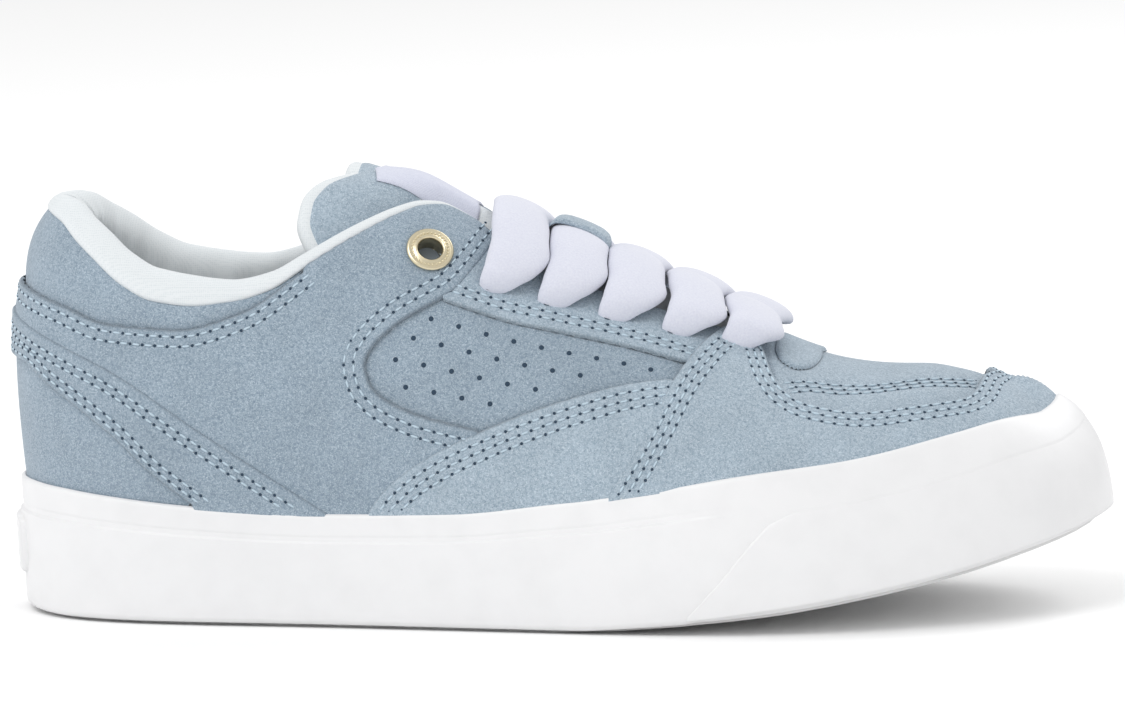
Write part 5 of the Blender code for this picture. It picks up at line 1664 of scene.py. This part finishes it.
@dataclass
class Eyelets:
    """Plated rings of the top holes, with fine beading, and a disc of painted shade in every hole."""

    bore: float = 0.0032
    flange: float = 0.0062
    beads: int = 30
    # Lace holes: radius in metres, and rise above the bar's end as a share of the wall
    hole: float = 0.0012
    hole_rise: float = 0.012

    def frame(self, s: float, v: float) -> tuple[np.ndarray, ...]:
        """Centre, outward direction and two directions along the last.

        Args:
            s: row.
            v: wall share.

        Returns:
            Centre, outward, sideways and up.
        """
        centre = LAST.at(s, v, 0.0, soft=0.0)
        out = LAST.normal(s, v)
        up = unit(LAST.bare(s, v + 1e-3) - LAST.bare(s, v - 1e-3))
        up = unit(up - out * np.sum(out * up))
        return centre, out, np.cross(up, out), up

    def build_ring(self, name: str, s: float, v: float) -> bpy.types.Object:
        """Turned ring with a bead row on its flange.

        Args:
            name: piece name.
            s: row.
            v: wall share.

        Returns:
            The ring.
        """
        centre, out, side, up = self.frame(s, v)
        profile = ((self.bore, -0.0029), (0.0036, -0.0029), (0.0038, 0.0012),
                   (0.0040, 0.0018), (self.flange - 0.0001, 0.0019), (self.flange, 0.0021),
                   (self.flange - 0.0001, 0.0024), (0.0058, 0.0027), (0.0054, 0.0027),
                   (0.0051, 0.0026), (0.0044, 0.0026), (0.0041, 0.0029), (0.0038, 0.0030),
                   (0.0034, 0.0028), (0.0032, 0.0022), (self.bore, 0.0010))
        steps = 96
        angles = math.tau * np.arange(steps) / steps
        away = side * np.cos(angles)[:, None] + up * np.sin(angles)[:, None]
        rings = np.array([[centre + way * radius + out * high for radius, high in profile]
                          for way in away])
        faces = grid_faces(steps, len(profile), wrap_rows=True, wrap_columns=True)
        vertices = [rings.reshape(-1, 3)]
        all_faces = [list(face) for face in faces]
        start = len(vertices[0])
        for k in range(self.beads):
            turn = math.tau * k / self.beads
            way = side * math.cos(turn) + up * math.sin(turn)
            spot = centre + way * 0.00475 + out * 0.0026
            low, ring = [], []
            for j in range(6):
                a = math.tau * j / 6
                step = side * math.cos(a) + up * math.sin(a)
                low.append(spot + step * 0.00034)
                ring.append(spot + step * 0.00024 + out * 0.00022)
            points = low + ring + [spot + out * 0.00030]
            vertices.append(np.array(points))
            for j in range(6):
                n = (j + 1) % 6
                all_faces.append([start + j, start + n, start + 6 + n, start + 6 + j])
                all_faces.append([start + 6 + j, start + 6 + n, start + 12])
            start += 13
        item = make_object(name, np.concatenate(vertices), all_faces, [Finish.METAL.material()])
        flip_if_inward(item)
        return item

    def build_disc(self, name: str, spots: Sequence[tuple[float, float, float, float]],
                   finish: Finish) -> bpy.types.Object:
        """Discs of painted shade at the floors of holes, one joined mesh.

        Args:
            name: the object's name.
            spots: row, wall, radius and height of each hole.
            finish: the finish of the painted shade at the hole's floor.

        Returns:
            The joined discs.
        """
        vertices, faces, start = [], [], 0
        for s, v, radius, high in spots:
            centre, out, side, up = self.frame(s, v)
            ring = [centre + out * high + side * radius * math.cos(math.tau * k / 20)
                    + up * radius * math.sin(math.tau * k / 20) for k in range(20)]
            vertices += ring + [centre + out * (high - 0.0002)]
            faces += [[start + k, start + (k + 1) % 20, start + 20] for k in range(20)]
            start += 21
        return make_object(name, np.array(vertices), faces, [finish.material()])

    def build(self) -> None:
        """Build both rings and the disc of painted shade in every hole."""
        s, v = METAL_EYELET
        dress(self.build_ring("ring_outer", s, v), "metal", "eyelet_outer")
        dress(self.build_ring("ring_inner", LOOP - s, v), "metal", "eyelet_inner")
        # Painted shade: a disc below each eyelet's bore stands in for the shade inside it
        dark = [(s, v, 0.0036, -0.0024), (LOOP - s, v, 0.0036, -0.0024)]
        dress(self.build_disc("eyelet_shade_disc", dark, Finish.HOLLOW_SHADE), "suede")
        # Painted shade: a dark disc in each lace hole, below the lace's end
        holes = []
        for row, wall, _ in LACE_ROWS:
            level = 0.0025 if row > 7.7 else 0.0016
            holes += [(row, wall + self.hole_rise, self.hole, level),
                      (LOOP - row, wall + self.hole_rise, self.hole, level)]
        dress(self.build_disc("lace_hole_dark", holes, Finish.HOLE_SHADE), "suede")


# Stitches and perforations

@dataclass
class Sewing:
    """Every stitch of the shoe, and the punched holes of the window."""

    pitch: float = 3.3 * MM
    length: float = 2.5 * MM
    thread: float = 0.64 * MM
    hole: float = 0.42 * MM

    def tree(self) -> bpy.types.NodeTree:
        """Node tree that lays a stitch, and a needle hole as painted shade, at every pitch along a
        line.

        Returns:
            The node tree.
        """
        tree = bpy.data.node_groups.new("sewn_rows", "GeometryNodeTree")
        socket = tree.interface.new_socket
        socket("Geometry", in_out="INPUT", socket_type="NodeSocketGeometry")
        for name, value in (("Pitch", self.pitch), ("Length", self.length),
                            ("Thread", self.thread), ("Hole", self.hole)):
            socket(name, in_out="INPUT", socket_type="NodeSocketFloat").default_value = value
        socket("Geometry", in_out="OUTPUT", socket_type="NodeSocketGeometry")
        given = put(tree, "NodeGroupInput")
        up = put(tree, "GeometryNodeInputNamedAttribute", {"Name": "up"},
                 data_type="FLOAT_VECTOR")
        curve = put(tree, "GeometryNodeMeshToCurve", None, {"Mesh": given.outputs["Geometry"]})
        even = put(tree, "GeometryNodeResampleCurve", None, {"Curve": curve.outputs["Curve"],
                                                             "Length": given.outputs["Pitch"]},
                   mode="LENGTH")
        tangent = put(tree, "GeometryNodeInputTangent")
        stand = put(tree, "FunctionNodeAlignRotationToVector", None,
                    {"Vector": up.outputs["Attribute"]}, axis="Z")
        turn = put(tree, "FunctionNodeAlignRotationToVector", None,
                   {"Rotation": stand.outputs["Rotation"], "Vector": tangent.outputs["Tangent"]},
                   axis="X", pivot_axis="Z")
        bead = put(tree, "GeometryNodeMeshUVSphere", {"Segments": 6, "Rings": 4, "Radius": 0.5})
        size = put(tree, "ShaderNodeCombineXYZ", None, {0: given.outputs["Length"],
                                                        1: given.outputs["Thread"],
                                                        2: given.outputs["Thread"]})
        threads = put(tree, "GeometryNodeInstanceOnPoints", None, {
            "Points": even.outputs["Curve"], "Instance": bead.outputs["Mesh"],
            "Rotation": turn.outputs["Rotation"], "Scale": size.outputs["Vector"]})
        real = put(tree, "GeometryNodeRealizeInstances", None,
                   {"Geometry": threads.outputs["Instances"]})
        sewn = put(tree, "GeometryNodeSetMaterial", {"Material": Finish.THREAD.material()},
                   {"Geometry": real.outputs["Geometry"]})
        # Needle holes: flat dark discs of painted shade, half a pitch along from each stitch
        half = put(tree, "ShaderNodeMath", {1: 0.5}, {0: given.outputs["Pitch"]},
                   operation="MULTIPLY")
        move = put(tree, "ShaderNodeVectorMath", None, {0: tangent.outputs["Tangent"],
                                                        "Scale": half.outputs[0]},
                   operation="SCALE")
        moved = put(tree, "GeometryNodeSetPosition", None, {"Geometry": even.outputs["Curve"],
                                                            "Offset": move.outputs[0]})
        disc = put(tree, "GeometryNodeMeshUVSphere", {"Segments": 8, "Rings": 4, "Radius": 0.5})
        wide = put(tree, "ShaderNodeMath", {1: 2.0}, {0: given.outputs["Hole"]},
                   operation="MULTIPLY")
        flat = put(tree, "ShaderNodeCombineXYZ", {2: 0.0003}, {0: wide.outputs[0],
                                                               1: wide.outputs[0]})
        pits = put(tree, "GeometryNodeInstanceOnPoints", None, {
            "Points": moved.outputs["Geometry"], "Instance": disc.outputs["Mesh"],
            "Rotation": turn.outputs["Rotation"], "Scale": flat.outputs["Vector"]})
        cut = put(tree, "GeometryNodeRealizeInstances", None,
                  {"Geometry": pits.outputs["Instances"]})
        dark = put(tree, "GeometryNodeSetMaterial", {"Material": Finish.HOLE_SHADE.material()},
                   {"Geometry": cut.outputs["Geometry"]})
        both = put(tree, "GeometryNodeJoinGeometry", None, {0: sewn.outputs["Geometry"]})
        tree.links.new(dark.outputs["Geometry"], both.inputs[0])
        put(tree, "NodeGroupOutput", None, {0: both.outputs[0]})
        return tree

    def build_rows(self, lines: Sequence[StitchLine]) -> bpy.types.Object:
        """Lay the stitches of every line.

        Args:
            lines: places and heights of the rows.

        Returns:
            One plain mesh of stitches and the painted-shade discs of their needle holes.
        """
        points, edges, ups = [], [], []
        for line in lines:
            v = np.minimum(line.places[:, 1], 0.9995)
            s = line.places[:, 0]
            where = LAST.at(s, v, line.level - 0.00022)
            start = sum(len(part) for part in points)
            points.append(where)
            ups.append(LAST.normal(s, v))
            edges += [(start + k, start + k + 1) for k in range(len(where) - 1)]
        mesh = bpy.data.meshes.new("sewing_lines")
        mesh.from_pydata(np.concatenate(points).tolist(), edges, [])
        mesh.attributes.new("up", "FLOAT_VECTOR", "POINT").data.foreach_set(
            "vector", np.concatenate(ups).astype(np.float32).ravel())
        return self.realise("stitches", mesh, self.tree(), {
            "Pitch": self.pitch, "Length": self.length, "Thread": self.thread,
            "Hole": self.hole})

    def punch_tree(self) -> bpy.types.NodeTree:
        """Node tree that sets a shallow dark cup of painted shade with a soft lip at every point.

        Returns:
            The node tree.
        """
        tree = bpy.data.node_groups.new("punched_rows", "GeometryNodeTree")
        socket = tree.interface.new_socket
        socket("Geometry", in_out="INPUT", socket_type="NodeSocketGeometry")
        socket("Width", in_out="INPUT", socket_type="NodeSocketFloat").default_value = 0.0013
        socket("Geometry", in_out="OUTPUT", socket_type="NodeSocketGeometry")
        given = put(tree, "NodeGroupInput")
        up = put(tree, "GeometryNodeInputNamedAttribute", {"Name": "up"},
                 data_type="FLOAT_VECTOR")
        stand = put(tree, "FunctionNodeAlignRotationToVector", None,
                    {"Vector": up.outputs["Attribute"]}, axis="Z")
        cup = put(tree, "GeometryNodeMeshUVSphere", {"Segments": 12, "Rings": 6, "Radius": 0.5})
        size = put(tree, "ShaderNodeCombineXYZ", {2: 0.00025}, {0: given.outputs["Width"],
                                                                1: given.outputs["Width"]})
        holes = put(tree, "GeometryNodeInstanceOnPoints", None, {
            "Points": given.outputs["Geometry"], "Instance": cup.outputs["Mesh"],
            "Rotation": stand.outputs["Rotation"], "Scale": size.outputs["Vector"]})
        real = put(tree, "GeometryNodeRealizeInstances", None,
                   {"Geometry": holes.outputs["Instances"]})
        # Painted shade: the cups take the dark hole colour
        dark = put(tree, "GeometryNodeSetMaterial", {"Material": Finish.HOLE_SHADE.material()},
                   {"Geometry": real.outputs["Geometry"]})
        put(tree, "NodeGroupOutput", None, {0: dark.outputs["Geometry"]})
        return tree

    def build_perforations(self) -> bpy.types.Object:
        """Four slanting rows of punched holes, cups of painted shade, in the window of each side.

        Returns:
            The dressed piece.
        """
        spots = []
        first, along, down = np.array([5.22, 0.541]), np.array([0.236, 0.0006]), np.array(
            [-0.155, -0.0545])
        for number, (start, count) in enumerate(((0, 9), (0, 7), (0, 6), (1, 4))):
            for k in range(start, start + count):
                spots.append(first + down * number + along * k)
        flat = np.array(spots)
        flat = np.concatenate([flat, np.stack([LOOP - flat[:, 0], flat[:, 1]], -1)])
        mesh = bpy.data.meshes.new("punch_spots")
        mesh.from_pydata(LAST.at(flat[:, 0], flat[:, 1], 0.00002).tolist(), [], [])
        mesh.attributes.new("up", "FLOAT_VECTOR", "POINT").data.foreach_set(
            "vector", LAST.normal(flat[:, 0], flat[:, 1]).astype(np.float32).ravel())
        return self.realise("perforations", mesh, self.punch_tree(), {"Width": 0.00135})

    def realise(self, name: str, mesh: bpy.types.Mesh, tree: bpy.types.NodeTree,
                inputs: dict[str, float]) -> bpy.types.Object:
        """Run a node tree on a mesh and keep the result as a plain mesh.

        Args:
            name: the new object's name.
            mesh: the points or lines that the tree reads.
            tree: the node tree.
            inputs: values for its named inputs.

        Returns:
            The plain object.
        """
        guide = bpy.data.objects.new(name + "_guide", mesh)
        bpy.context.scene.collection.objects.link(guide)
        step = guide.modifiers.new("rows", "NODES")
        step.node_group = tree
        for socket in tree.interface.items_tree:
            if socket.in_out == "INPUT" and socket.name in inputs:
                step[socket.identifier] = inputs[socket.name]
        graph = bpy.context.evaluated_depsgraph_get()
        made = bpy.data.meshes.new_from_object(guide.evaluated_get(graph), depsgraph=graph)
        bpy.data.objects.remove(guide, do_unlink=True)
        made.shade_smooth()
        item = bpy.data.objects.new(name, made)
        bpy.context.scene.collection.objects.link(item)
        return item

    def build(self, lines: Sequence[StitchLine]) -> None:
        """Build the stitches and the perforations."""
        dress(self.build_rows(lines), "suede")
        dress(self.build_perforations(), "suede")


# Sole

def foxing_face(s: np.ndarray, h: np.ndarray, out: np.ndarray = 0.0) -> np.ndarray:
    """Outer face of the side band, h from 0 at the bottom to 1 at its top edge.

    Args:
        s: rows on the last.
        h: shares of the band's height.
        out: metres outwards.

    Returns:
        Points in metres.
    """
    s, h = np.broadcast_arrays(np.asarray(s, float), np.asarray(h, float))
    row = outer_row(s)
    foot, away = LAST.plan(s, 0.0)
    floor = LAST.underside(foot[..., 0]) + 0.0010
    low = stack(foot[..., 0], foot[..., 1], floor)
    wall = LAST.foxing_wall(row)
    high = LAST.bare(s, wall) + LAST.normal(s, wall) * 0.0034
    tall = high[..., 2] - floor
    toe = np.clip((row - 10.0) / 3.0, 0.0, 1.0)
    belly = 0.0006 - 0.0026 * toe
    mid = stack(foot[..., 0] + away[..., 0] * belly, foot[..., 1] + away[..., 1] * belly,
                floor + (0.60 + 0.22 * toe) * tall)
    h = h[..., None]
    face = (1 - h) ** 2 * low + 2 * h * (1 - h) * mid + h**2 * high
    up = 2 * (1 - h) * (mid - low) + 2 * h * (high - mid)
    side = stack(-away[..., 1], away[..., 0], np.zeros_like(row))
    normal = unit(np.cross(side, up))
    normal = normal * np.sign(np.sum(normal[..., :2] * away, -1))[..., None]
    return face + normal * np.asarray(out)[..., None] + LAST.shift


@dataclass
class Sole:
    """Side band, toe strip, heel plate, tread and sock."""

    stations: int = 520

    def build_band(self) -> bpy.types.Object:
        """Side band with its fine ribs, rolled top lip and hollow inside.

        Returns:
            The dressed piece.
        """
        s = np.linspace(0, LOOP, self.stations, endpoint=False)
        row = outer_row(s)
        cover = np.where(row > STRIP_EDGE[0][0], Curve(STRIP_EDGE)(row), 0.0)
        rear = 1.0 - smooth_share(row, 7.0, 7.8)
        shares = (0.0, 0.012, 0.04, 0.10, 0.20, 0.30, 0.40, 0.50, 0.60, 0.665, 0.675, 0.690, 0.700,
                  0.710, 0.720, 0.735, 0.750, 0.760, 0.770, 0.780, 0.80, 0.85, 0.90, 0.94, 0.965,
                  0.985, 1.0)
        grid = []
        for h in shares:
            out = -0.0008 * (1 - quarter_round(h, 0.05))
            out = out - STRIP_SEAT * smooth_share(cover - h, 0.03, 0.10)
            out = out - 0.0007 * smooth_share(h, 0.70, 0.712) * rear
            out = out - 0.00022 * rear * np.exp(-((h - 0.755) / 0.006) ** 2)
            out = out - 0.0009 * (1 - quarter_round(1.0 - h, 0.035))
            grid.append(foxing_face(s, np.full(len(s), h), out))
        wall = LAST.foxing_wall(row)
        grid.append(LAST.bare(s, wall) + LAST.normal(s, wall) * 0.0016 + LAST.shift)
        grid.append(LAST.bare(s, wall - 0.02) + LAST.normal(s, wall - 0.02) * 0.0008 + LAST.shift)
        grid.append(LAST.bare(s, 0.0 * s) + LAST.shift)
        foot, out = LAST.plan(s, FOXING_BASE - GAP)
        grid.append(stack(foot[:, 0], foot[:, 1], LAST.underside(foot[:, 0]) + 0.001)
                    + LAST.shift)
        points = np.stack(grid, 1)
        faces = grid_faces(points.shape[0], points.shape[1], wrap_rows=True, wrap_columns=True)
        item = make_object("side_band", points.reshape(-1, 3), faces, [Finish.RUBBER.material()])
        flip_if_inward(item)
        return dress(item, "rubber", "foxing")

    def build_strip(self) -> bpy.types.Object:
        """Second layer of rubber round the toe, nearly flush, swept back to the sole.

        Returns:
            The dressed piece.
        """
        edge = Curve(STRIP_EDGE)
        rows = np.linspace(7.31, LOOP - 7.31, 420)
        share = np.linspace(0.0, 1.0, 26)
        s, t = np.meshgrid(rows, share, indexing="ij")
        top = np.minimum(edge(outer_row(s)), 0.665)
        h = 0.02 + (top - 0.02) * t
        rim = (top - h) * 0.036
        swept = 1 - smooth_share(outer_row(s), 8.1, 8.5)
        out = 0.00014 - 0.0008 * (1 - quarter_round(h, 0.05))
        out = out - 0.0004 * swept * (1 - quarter_round(rim, 0.0006))
        over = foxing_face(s, h, out - 0.00030 * (1 - swept) * smooth_share(h, 0.40, 0.665))
        under = foxing_face(s, h, -0.0012)
        count = s.size
        faces = grid_faces(*s.shape)
        ring = [k for k in range(s.shape[1])]
        ring += [k * s.shape[1] + s.shape[1] - 1 for k in range(1, s.shape[0])]
        ring += [count - 1 - k for k in range(1, s.shape[1])]
        ring += [k * s.shape[1] for k in range(s.shape[0] - 2, 0, -1)]
        wall = [[b, a, a + count, b + count] for a, b in zip(ring, ring[1:] + ring[:1])]
        all_faces = [list(f) for f in faces] + [[count + k for k in f[::-1]] for f in faces] + wall
        item = make_object("toe_wrap", np.concatenate([over.reshape(-1, 3),
                                                       under.reshape(-1, 3)]), all_faces,
                           [Finish.RUBBER.material()])
        flip_if_inward(item)
        return dress(item, "rubber", "toe_strip")

    def build_plate(self) -> bpy.types.Object:
        """Blank raised plate at the back of the band, its edge rounded.

        Returns:
            The dressed piece.
        """
        rows = np.linspace(-0.80, 0.80, 60)
        shares = np.linspace(0.20, 0.68, 34)
        s, h = np.meshgrid(rows, shares, indexing="ij")
        width = np.abs(s) - 0.75
        height = np.abs(h - 0.44) - 0.22
        corner = np.hypot(np.maximum(width * 19 + 2.5, 0), np.maximum(height * 29 + 2.5, 0)) - 2.5
        away = np.maximum(-corner, 0.0) * MM
        bead = 0.00025 * np.exp(-((away - 0.0016) / 0.0004) ** 2)
        out = -0.0004 + 0.0018 * quarter_round(away, 0.0007) - bead
        points = foxing_face(s, h, np.where(corner > 0, -0.0006, out))
        item = make_object("heel_plate", points.reshape(-1, 3), grid_faces(*s.shape),
                           [Finish.RUBBER.material()])
        return dress(item, "rubber", "heel_label")

    def build_sock(self) -> bpy.types.Object:
        """Cloth-covered sock, dished towards its rim.

        Returns:
            The dressed piece.
        """
        rows = np.linspace(0, LOOP, 400, endpoint=False)
        toe = np.clip((outer_row(rows) - 8.5) / 4.0, 0.0, 1.0)
        rim = LAST.plan(rows, 0.0071 + 0.0042 * toe)[0]
        shares = np.array([1.0, 0.985, 0.95, 0.88, 0.78, 0.64, 0.46, 0.26, 0.08])
        centre_x = np.clip(rim[:, 0], 0.045, 0.235)
        centre_y = 0.5 * (np.interp(centre_x, *self.side_line(-1))
                          + np.interp(centre_x, *self.side_line(1)))
        layers = []
        for share in shares:
            x = centre_x + (rim[:, 0] - centre_x) * share
            y = centre_y + (rim[:, 1] - centre_y) * share
            away = (1 - share) * np.hypot(rim[:, 0] - centre_x, rim[:, 1] - centre_y)
            dish = 0.0022 * (1 - smooth_share(away, 0.0, 0.012))
            z = LAST.underside(x) + SOLE_RISE + 0.0035 + dish * (share < 1.0)
            layers.append(stack(x, y, z) + LAST.shift)
        bottom = stack(rim[:, 0], rim[:, 1], LAST.underside(rim[:, 0]) + SOLE_RISE + 0.0002)
        points = np.stack([bottom + LAST.shift] + layers, 1)
        faces = [list(f) for f in grid_faces(points.shape[0], points.shape[1], wrap_rows=True)]
        middle = [k * points.shape[1] + points.shape[1] - 1 for k in range(points.shape[0])]
        lines = len(middle)
        for k in range(lines // 2 - 1):
            faces.append([middle[k], middle[k + 1], middle[lines - 2 - k], middle[lines - 1 - k]])
        item = make_object("sock_cloth", points.reshape(-1, 3), faces, [Finish.SOCK.material()])
        weld(item, 1e-6)
        return dress(item, "foam", "insole")

    def side_line(self, side: int) -> tuple[np.ndarray, np.ndarray]:
        """One side of the sock's rim as x and y, x rising.

        Args:
            side: 1 for the inner side, -1 for the outer.

        Returns:
            Its x and its y.
        """
        rows = np.linspace(0.2, TOE - 0.2, 200)
        if side > 0:
            rows = LOOP - rows
        rim = LAST.plan(rows, 0.009)[0]
        order = np.argsort(rim[:, 0])
        return rim[order, 0], rim[order, 1]

    def dress_tread(self) -> None:
        """Give the tread its rubber."""
        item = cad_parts["outsole"]
        item.data.materials.clear()
        item.data.materials.append(Finish.TREAD.material())

    def build(self) -> None:
        """Build every piece of the sole."""
        self.build_band()
        self.build_strip()
        self.build_plate()
        self.build_sock()
        self.dress_tread()


# Studio

@dataclass(frozen=True)
class Studio:
    """Plain pale floor, soft lights and a camera at the photograph's angle."""

    azimuth: float = 7.0
    elevation: float = 7.4
    distance: float = 2.2
    focal: float = 8410.0
    picture: tuple[int, int] = (1125, 720)
    roll: float = 1.0

    def build_floor(self) -> None:
        """Plain pale floor."""
        mesh = bpy.data.meshes.new("floor")
        mesh.from_pydata([(-6, -6, 0), (6, -6, 0), (6, 6, 0), (-6, 6, 0)], [], [(0, 1, 2, 3)])
        item = bpy.data.objects.new("floor", mesh)
        bpy.context.scene.collection.objects.link(item)
        material, _, shader = new_material("floor_white")
        shader.inputs["Base Color"].default_value = linear("fcfcfc")
        shader.inputs["Roughness"].default_value = 0.9
        shader.inputs["Specular IOR Level"].default_value = 0.0
        mesh.materials.append(material)

    def build_light(self, name: str, place: tuple[float, float, float], size: float,
                    power: float) -> None:
        """Square soft light aimed at the shoe.

        Args:
            name: name of the light.
            place: where it stands, metres.
            size: edge length in metres.
            power: power in watts.
        """
        data = bpy.data.lights.new(name, "AREA")
        data.shape = "SQUARE"
        data.size = size
        data.energy = power
        item = bpy.data.objects.new(name, data)
        item.location = place
        aim = Vector((0.0, 0.0, 0.05)) - Vector(place)
        item.rotation_euler = aim.to_track_quat("-Z", "Y").to_euler()
        bpy.context.scene.collection.objects.link(item)

    def build_camera(self) -> None:
        """Camera at the photograph's angle."""
        data = bpy.data.cameras.new("camera")
        data.sensor_width = 36.0
        data.lens = self.focal / self.picture[0] * 36.0
        data.clip_end = 30.0
        item = bpy.data.objects.new("camera", data)
        turn, rise = math.radians(self.azimuth), math.radians(self.elevation)
        away = Vector((math.sin(turn) * math.cos(rise), -math.cos(turn) * math.cos(rise),
                       math.sin(rise)))
        target = Vector((0.1456, 0.0, 0.0648)) + Vector(LAST.shift)
        item.location = target + away * self.distance
        aim = (-away).to_track_quat("-Z", "Y")
        item.rotation_mode = "QUATERNION"
        item.rotation_quaternion = Quaternion(-away, math.radians(self.roll)) @ aim
        bpy.context.scene.collection.objects.link(item)
        bpy.context.scene.camera = item

    def build(self) -> None:
        """Build floor, lights, world and camera."""
        scene = bpy.context.scene
        scene.view_settings.view_transform = "Standard"
        world = bpy.data.worlds.new("studio")
        world.use_nodes = True
        scene.world = world
        ground = world.node_tree.nodes["Background"]
        ground.inputs["Color"].default_value = (1.0, 1.0, 1.0, 1.0)
        ground.inputs["Strength"].default_value = 0.80
        self.build_floor()
        self.build_light("key", (-0.7, -1.3, 1.7), 1.2, 16.0)
        self.build_light("rim", (0.9, 1.0, 1.4), 1.0, 10.0)
        self.build_light("heel", (-1.5, -0.5, 0.6), 1.0, 2.0)
        self.build_camera()


def main() -> None:
    """Build the studio and every piece of the shoe, in order."""
    logging.basicConfig(level=logging.INFO, format="%(name)s %(message)s")
    Studio().build()
    upper = Upper()
    upper.build()
    Collar().build()
    Tongue().build()
    Laces().build()
    Eyelets().build()
    Sole().build()
    Sewing().build(upper.stitches)


if __name__ == "__main__":
    main()
